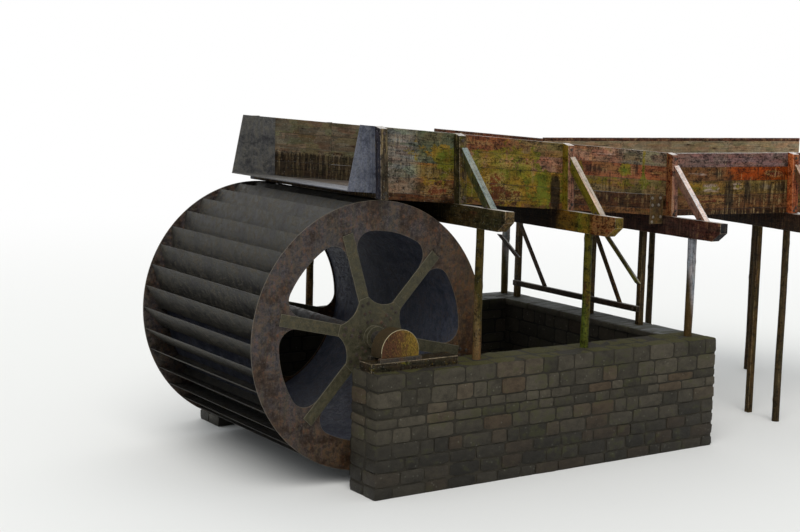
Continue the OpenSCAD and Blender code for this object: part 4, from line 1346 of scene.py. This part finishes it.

# Wheel
# Shroud rings, arms and hub plates cut from steel plate, a rolled drum and bent bucket plates. All
# of it is rusted brown and wet, with an olive film on the arms and hubs, edges worn bright and
# pale specks painted as wet glints. The shrouds darken toward the pit with rust and painted shade.


def steel_finish(
        name, light, deep, film, film_share, gloss=0.22, rust=(80, 46, 26), contrast=1.0,
        turned=None, far_cast=None):
    """Wet rusted steel, from deep to light, with flakes of rust, a slimy film and pale specks painted
    as wet glints; turned is a cast that it takes on toward upstream and below, redder rust together
    with painted shade from the pit, and far_cast one across to the far side."""
    steel = Finish(name)
    edge = steel.read("edge").outputs["Fac"]
    coarse = steel.cloud(steel.place, 0.32, 7.0, 0.68)
    mottle = steel.cloud(steel.place, 0.07, 7.0, 0.74)
    fine = steel.cloud(steel.place, 0.009, 4.0, 0.75)
    run = steel.cloud(steel.place, (0.03, 0.03, 0.45), 5.0, 0.66)
    colour = steel.mix(steel.fade(coarse, 0.38, 0.62), paint(*deep), paint(*light))
    flake = steel.fade(steel.weigh(0.0, (mottle, 0.7), (coarse, 0.3)), 0.50, 0.58)
    colour = steel.over(colour, flake, 0.55, paint(*rust))
    slimy = steel.weigh(0.35 * film_share, (coarse, 0.3), (run, 0.4), (mottle, 0.3))
    slime = steel.fade(slimy, 0.52, 0.64)
    colour = steel.over(colour, slime, 0.65, paint(*film))
    pits = steel.fade(mottle, 0.36, 0.64)
    grains = steel.fade(fine, 0.35, 0.65)
    value = steel.weigh(1.0 - 0.6 * contrast, (pits, 0.7 * contrast), (grains, 0.5 * contrast))
    colour = steel.shade(colour, value)
    # Toward upstream and below: redder rust and painted shade from the pit
    if turned:
        x, y, z = steel.parts(steel.place)
        aslant = steel.weigh(0.0, (x, 0.8), (z, -0.6), (coarse, 1.2))
        level = shaft_low.x * 0.8 - shaft_low.z * 0.6 + 0.65
        colour = steel.mix(steel.fade(aslant, level - 0.9, level + 1.3), colour, turned, "MULTIPLY")
    if far_cast:
        across = steel.parts(steel.place)[1]
        colour = steel.mix(steel.fade(across, -1.0, 1.4), colour, far_cast, "MULTIPLY")
    # Pale specks of spray, painted as wet glints
    colour = steel.over(colour, steel.dots(0.034, 0.09, 0.4), 0.3, paint(130, 132, 136))
    colour = steel.over(colour, edge, 0.6, paint(140, 132, 114))
    rough = steel.fade(mottle, 0.35, 0.65, 0.36, 0.72)
    height = steel.weigh(0.0, (fine, 0.4), (flake, 0.5), (mottle, 1.0))
    return steel.done(colour, rough, height, 0.005, gloss)


def worn_plates(name, node, finish, slot, body, worn=0.0025):
    """A copy of a node's steel plates with their sharp edges rubbed off and marked as worn."""
    bm = bmesh.new()
    bm.verts.layers.float.new("edge")
    for solid in solids_of(node):
        mark = solid.verts.layers.float.new("edge")
        closed = [edge for edge in solid.edges if len(edge.link_faces) == 2]
        bevels = round_edges(solid, [edge for edge in closed if edge.calc_face_angle() > 0.6], worn)
        for vert in solid.verts:
            vert[mark] = 1.0 if all(face in bevels for face in vert.link_faces) else 0.0
        gather(bm, solid)
    return piece(name, bm, finish, slot, node, body=body, sharp=24)


def plate_face(node, place, side):
    """The outermost level of a node's flat faces at a place, on its near (-1) or far (1) side."""
    mesh = nodes[node].data
    levels = []
    for triangle in mesh.polygons:
        if triangle.normal.y * side < 0.9:
            continue
        a, b, c = (mesh.vertices[i].co for i in triangle.vertices[:3])
        turns = [
            (q.x - p.x) * (place.z - p.z) - (q.z - p.z) * (place.x - p.x)
            for p, q in ((a, b), (b, c), (c, a))]
        if min(turns) >= -1e-9 or max(turns) <= 1e-9:
            levels.append(a.y)
    return max(levels, key=lambda level: level * side) if levels else place.y


# The shrouds take a redder, darker cast toward the pit: rust and painted shade
ring_steel = steel_finish(
    "ring_steel", (76, 71, 74), (52, 40, 32), (60, 57, 46), 0.2, 0.14, contrast=1.5,
    turned=(1.0, 0.70, 0.36, 1))
arm_steel = steel_finish("arm_steel", (66, 60, 48), (46, 42, 32), (64, 62, 44), 0.5, rust=(68, 48, 32))
dark_steel = steel_finish(
    "dark_steel", (86, 92, 110), (50, 54, 68), (58, 58, 58), 0.2, 0.2, (66, 50, 44), 1.4)
bucket_steel = steel_finish(
    "bucket_steel", (68, 66, 66), (42, 40, 42), (56, 56, 46), 0.3, 0.25, (70, 48, 34), 1.2)
shaft_steel = steel_finish("shaft_steel", (58, 54, 50), (30, 28, 26), (44, 42, 36), 0.2, 0.4)
for node in ("near_shroud", "far_shroud"):
    worn_plates(node + "_plate", node, ring_steel, "wheel_steel", "wheel", 0.004)
for node in ("near_arms", "far_arms", "near_hub", "far_hub"):
    worn_plates(node + "_plate", node, arm_steel, "arm_steel", "wheel", 0.005)
coat(dark_steel, "wheel_drum")
coat(bucket_steel, "buckets")
coat(shaft_steel, "wheel_shaft")

# Bolts
# Hexagon heads on washers hold the arms to the hub plates and the shrouds. The same heads, in
# other sizes, hold the bend plates, the braces, the struts and the spout.


def bolts_tree():
    """Hexagon heads on round washers, each turned at random on the face that it sits on."""
    tree, given, result = new_tree("bolts", {"Size": "NodeSocketFloat", "Finish": "NodeSocketMaterial"})
    both = wired(tree, "GeometryNodeJoinGeometry", {})
    # The head, then its washer: its corners, the radius of its top and of its foot, and its height
    for corners, top, foot, high in ((6, 0.44, 0.5, 0.5), (14, 0.76, 0.8, 0.12)):
        sizes = {"Vertices": corners, "Radius Top": top, "Radius Bottom": foot, "Depth": high}
        cone = wired(tree, "GeometryNodeMeshCone", sizes)
        feed(tree, both, {0: cone.outputs["Mesh"]})
    facing = named_value(tree, "facing", "FLOAT_VECTOR")
    turn = wired(tree, "FunctionNodeAlignRotationToVector", {"Vector": facing}, axis="Z")
    chance_turn = wired(tree, "FunctionNodeRandomValue", {"Max": math.tau, "Seed": 4})
    spin = wired(tree, "FunctionNodeAxisAngleToRotation", {"Angle": chance_turn.outputs["Value"]})
    turns = {"Rotation": turn.outputs[0], "Rotate By": spin.outputs[0]}
    spun = wired(tree, "FunctionNodeRotateRotation", turns, rotation_space="LOCAL")
    laid = {"Points": given["Geometry"], "Instance": both.outputs[0], "Rotation": spun.outputs[0]}
    lay = wired(tree, "GeometryNodeInstanceOnPoints", {**laid, "Scale": given["Size"]})
    real = wired(tree, "GeometryNodeRealizeInstances", {0: lay.outputs[0]})
    return coated(tree, real.outputs[0], given["Finish"], result)


bolt_heads = bolts_tree()
bolt_steel = steel_finish("bolt_steel", (70, 62, 54), (40, 34, 28), (58, 54, 42), 0.1, 0.3)


def bolt_on(name, places, size, finish, body="structure"):
    """Bolts of one size; places holds the foot of each head and the way that it faces."""
    feet = [foot for foot, way in places]
    facing = {"facing": ("FLOAT_VECTOR", [way for foot, way in places])}
    laid = grown(name, feet, facing, bolt_heads, {"Size": size, "Finish": finish})
    smooth(laid.data, 30)
    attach(laid, body)
    return laid


# Rows of bolts on an arm, over the hub plate and over the shroud: how far out from the shaft, and
# how far to each side of the arm's middle
hub_rows = ((0.216, 0.034), (0.335, 0.04), (0.455, 0.045))
shroud_rows = ((1.46, 0.04), (1.56, 0.04))
arm_turn = math.radians(-17)
axis_place = (shaft_low + shaft_high) / 2
arm_bolts = []
for hub, arms, side in (("near_hub", "near_arms", -1), ("far_hub", "far_arms", 1)):
    arm_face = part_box(arms)[0 if side < 0 else 1].y
    for arm in range(6):
        turn = arm_turn + math.tau * arm / 6
        out = Vector((math.sin(turn), 0, math.cos(turn)))
        across = Vector((out.z, 0, -out.x))
        for reach, aside in hub_rows + shroud_rows:
            for hand in (-1, 1):
                place = axis_place + out * reach + across * aside * hand
                place.y = plate_face(hub, place, side) if (reach, aside) in hub_rows else arm_face
                arm_bolts.append((place, Vector((0, side, 0))))
bolt_on("arm_bolts", arm_bolts, 0.032, bolt_steel, "wheel")

# Bearings
# Cast housings on two rails over a timber sill, each under a half-round sheet cover that has
# rusted ochre in front and dark over its back.


def cover_finish():
    cover = Finish("cover_rust")
    edge = cover.read("edge").outputs["Fac"]
    broad = cover.cloud(cover.place, 0.16, 6.0, 0.66)
    mottle = cover.cloud(cover.place, (0.07, 0.07, 0.09), 9.0, 0.76)
    run = cover.cloud(cover.place, (0.04, 0.04, 0.10), 6.0, 0.7)
    fine = cover.cloud(cover.place, (0.014, 0.014, 0.03), 5.0, 0.75)
    aside = cover.sum("SUBTRACT", cover.parts(cover.place)[0], axis_place.x)
    golden = cover.fade(cover.weigh(0.0, (aside, 1.6), (broad, 0.8)), 0.25, 0.60)
    colour = cover.mix(golden, paint(86, 58, 30), paint(112, 90, 30))
    eaten = cover.weigh(0.0, (mottle, 0.6), (run, 0.2), (broad, 0.2), (aside, -0.15))
    rusty = cover.fade(eaten, 0.48, 0.54, 0.0, 0.8)
    colour = cover.mix(rusty, colour, paint(60, 34, 22))
    gleam = cover.fade(cover.weigh(0.0, (mottle, -0.5), (fine, 0.5)), 0.02, 0.10, 0.0, 0.45)
    colour = cover.mix(gleam, colour, paint(138, 108, 54))
    grains = cover.fade(fine, 0.25, 0.75)
    colour = cover.shade(colour, cover.weigh(-0.2, (cover.fade(mottle, 0.36, 0.64), 0.8), (grains, 1.2)))
    facing = cover.node("ShaderNodeNewGeometry").outputs["Normal"]
    level = cover.sum("ABSOLUTE", cover.parts(facing)[1])
    back = cover.fade(level, 0.4, 0.8, 1.0, 0.0)
    dark = cover.shade(paint(52, 46, 32), cover.weigh(0.4, (mottle, 1.2)))
    colour = cover.over(colour, back, 0.8, dark)
    colour = cover.over(colour, edge, 0.85, paint(158, 148, 118))
    height = cover.weigh(0.0, (mottle, 1.0), (fine, 0.5))
    return cover.done(colour, 0.6, height, 0.004, 0.12)


iron = steel_finish("iron", (58, 50, 42), (34, 29, 24), (52, 48, 36), 0.2)
cover_rust = cover_finish()
for side in ("near", "far"):
    worn_plates(side + "_rail_bars", side + "_rails", iron, "bearing_iron", "structure")
    worn_plates(
        side + "_cover_sheet", side + "_bearing_cover", cover_rust, "cover_steel", "structure", 0.0028)
coat(iron, "near_bearing", "far_bearing")
foot_bolts = []
for side in ("near", "far"):
    cover_low, cover_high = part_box(side + "_bearing_cover")
    rail_low, rail_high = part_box(side + "_rails")
    for x in ((cover_low.x + rail_low.x) / 2, (cover_high.x + rail_high.x) / 2):
        for y in (rail_low.y + 0.03, rail_high.y - 0.03):
            foot_bolts.append((Vector((x, y, rail_high.z)), Vector((0, 0, 1))))
bolt_on("cover_bolts", foot_bolts, 0.022, bolt_steel)


def hoop(name, centre, radius, start, end, thick, finish, slot):
    """A round bead of radius thick, bent about a centre between two angles from the top."""
    steps = 48
    sides = 8
    bm = bmesh.new()
    edge_of = bm.verts.layers.float.new("edge")
    rings = []
    for i in range(steps + 1):
        turn = start + (end - start) * i / steps
        out = Vector((math.sin(turn), 0, math.cos(turn)))
        ring = []
        for j in range(sides):
            around = math.tau * j / sides
            beside = Vector((0, thick * math.sin(around), 0))
            vert = bm.verts.new(centre + out * (radius + thick * math.cos(around)) + beside)
            vert[edge_of] = 1.0
            ring.append(vert)
        rings.append(ring)
    skin(bm, rings)
    return piece(name, bm, finish, slot, sharp=60)


# The bead rolled round the front edge of each cover: its radius, how far it runs from the middle
# of the half round, and how high that middle is above the cover's feet
bead = 0.006
bead_reach = 0.283
cover_rise = 0.07
for side in ("near", "far"):
    cover_low, cover_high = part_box(side + "_bearing_cover")
    front = cover_low.y + bead if side == "near" else cover_high.y - bead
    middle = Vector(((cover_low.x + cover_high.x) / 2, front, cover_low.z + cover_rise))
    hoop(
        side + "_cover_rim", middle, bead_reach, -math.pi / 2, math.pi / 2, bead, cover_rust,
        "cover_steel")

# Spout
# A steel mouth, folded from plate, that opens over the top of the wheel. Its floor and cheeks lap
# into the end of the flume, and a row of bolts runs up the stiffener at the ends of the boards.

spout_steel = steel_finish(
    "spout_steel", (102, 106, 120), (62, 65, 77), (78, 80, 82), 0.2, 0.3, (80, 75, 76), 1.3,
    far_cast=(0.82, 0.74, 0.55, 1))
coat(spout_steel, "spout")
spout_low, spout_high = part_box("spout")
row_x = axis_place.x - 0.035
lowest = spout_low.z + 0.16
apart = 0.13
spout_bolts = []
for y, way in ((spout_low.y, -1), (spout_high.y, 1)):
    for i in range(6):
        spout_bolts.append((Vector((row_x, y, lowest + apart * i)), Vector((0, way, 0))))
bolt_on("spout_bolts", spout_bolts, 0.02, spout_steel)

# Bend plates
# Two rusted steel plates, bolted to the outside of the flume's two sides just below the bend.
# Their bolt heads are rubbed bright.

plate_steel = steel_finish(
    "plate_steel", (84, 62, 34), (52, 38, 22), (68, 58, 30), 0.2, 0.12, (92, 54, 26))
worn_plates("bend_plate_sheets", "bend_plates", plate_steel, "plate_steel", "structure", 0.003)
plate_shares = (
    (0.14, 0.87), (0.77, 0.87), (0.17, 0.63), (0.65, 0.63), (0.25, 0.23), (0.84, 0.23), (0.17, 0.07))


def spots_on(solid, outward, shares):
    """Places on the face of a solid that looks outward, by shares across it and up it."""
    looking = [face for face in solid.faces if face.normal.dot(outward) > 0.8]
    face = max(looking, key=lambda face: face.calc_area())
    corners = [vert.co for vert in face.verts]
    longest = max(face.edges, key=lambda edge: edge.calc_length())
    up = (longest.verts[1].co - longest.verts[0].co).normalized()
    if up.z < 0 or (abs(up.z) < 0.01 and up.y < 0):
        up.negate()
    side = up.cross(face.normal)
    if side.x < 0 or (abs(side.x) < 0.01 and side.z < 0):
        side.negate()
    base = face.normal * corners[0].dot(face.normal)
    left, right = reach_of(corners, side)
    foot, head = reach_of(corners, up)
    spots = []
    for across, along in shares:
        spot = base + side * (left + across * (right - left)) + up * (foot + along * (head - foot))
        spots.append((spot, face.normal.copy()))
    return spots


plate_bolts = []
for plate in solids_of("bend_plates"):
    outward = Vector((0, -1 if centre_of(plate).y < 0 else 1, 0))
    plate_bolts += spots_on(plate, outward, plate_shares)
bright_bolt = steel_finish("bright_bolt", (138, 128, 116), (92, 84, 74), (100, 92, 74), 0.1, 0.4)
bolt_on("plate_bolts", plate_bolts, 0.03, bright_bolt)

# Timber bolts and nails
# Coach bolts hold the braces to the posts and the beams, and the struts and the tie to the
# trestle. Pairs of nails drive through each board into the posts from the inside.

timber_bolts = []
for node, outward in (("near_side_posts", -1), ("far_side_posts", 1)):
    for post in solids_of(node):
        shares = ((0.35, 0.05), (0.62, 0.10), (0.5, 0.93))
        timber_bolts += spots_on(post, Vector((0, outward, 0)), shares)
for node in ("near_braces", "far_braces"):
    for brace in solids_of(node):
        timber_bolts += spots_on(brace, Vector((-1, 0, 0)), ((0.5, 0.07), (0.5, 0.93)))
for strut in solids_of("trestle_struts")[:3]:
    timber_bolts += spots_on(strut, Vector((-1, 0, 0)), ((0.5, 0.04), (0.5, 0.96)))
for tie in solids_of("trestle_tie"):
    timber_bolts += spots_on(tie, Vector((-1, 0, 0)), ((0.5, 0.03), (0.5, 0.38), (0.5, 0.97)))
bolt_on("timber_bolts", timber_bolts, 0.03, bolt_steel)

# Where the nails go up each board, as shares of its width, and how far they stand to each side of
# a butt, as a share of the wall's length
nail_rows = (0.22, 0.78)
nail_aside = 0.006
nails = []
for name, node, along, places, first_bay, side, *rest in side_walls:
    corners = wall_corners(node, along)[0]
    way = Vector((-along.y, along.x, 0)) * side
    ends = shares_along(node, along, places)
    for end in ends[1:-1]:
        for top, bottom in zip(board_edges, board_edges[1:]):
            for row in nail_rows:
                up = bottom + (top - bottom) * row
                for offset in (-nail_aside, nail_aside):
                    face = 1.0 if side > 0 else 0.0
                    nails.append((place_in(corners, end + offset, face, up), way))
bolt_on("nails", nails, 0.011, bolt_steel)
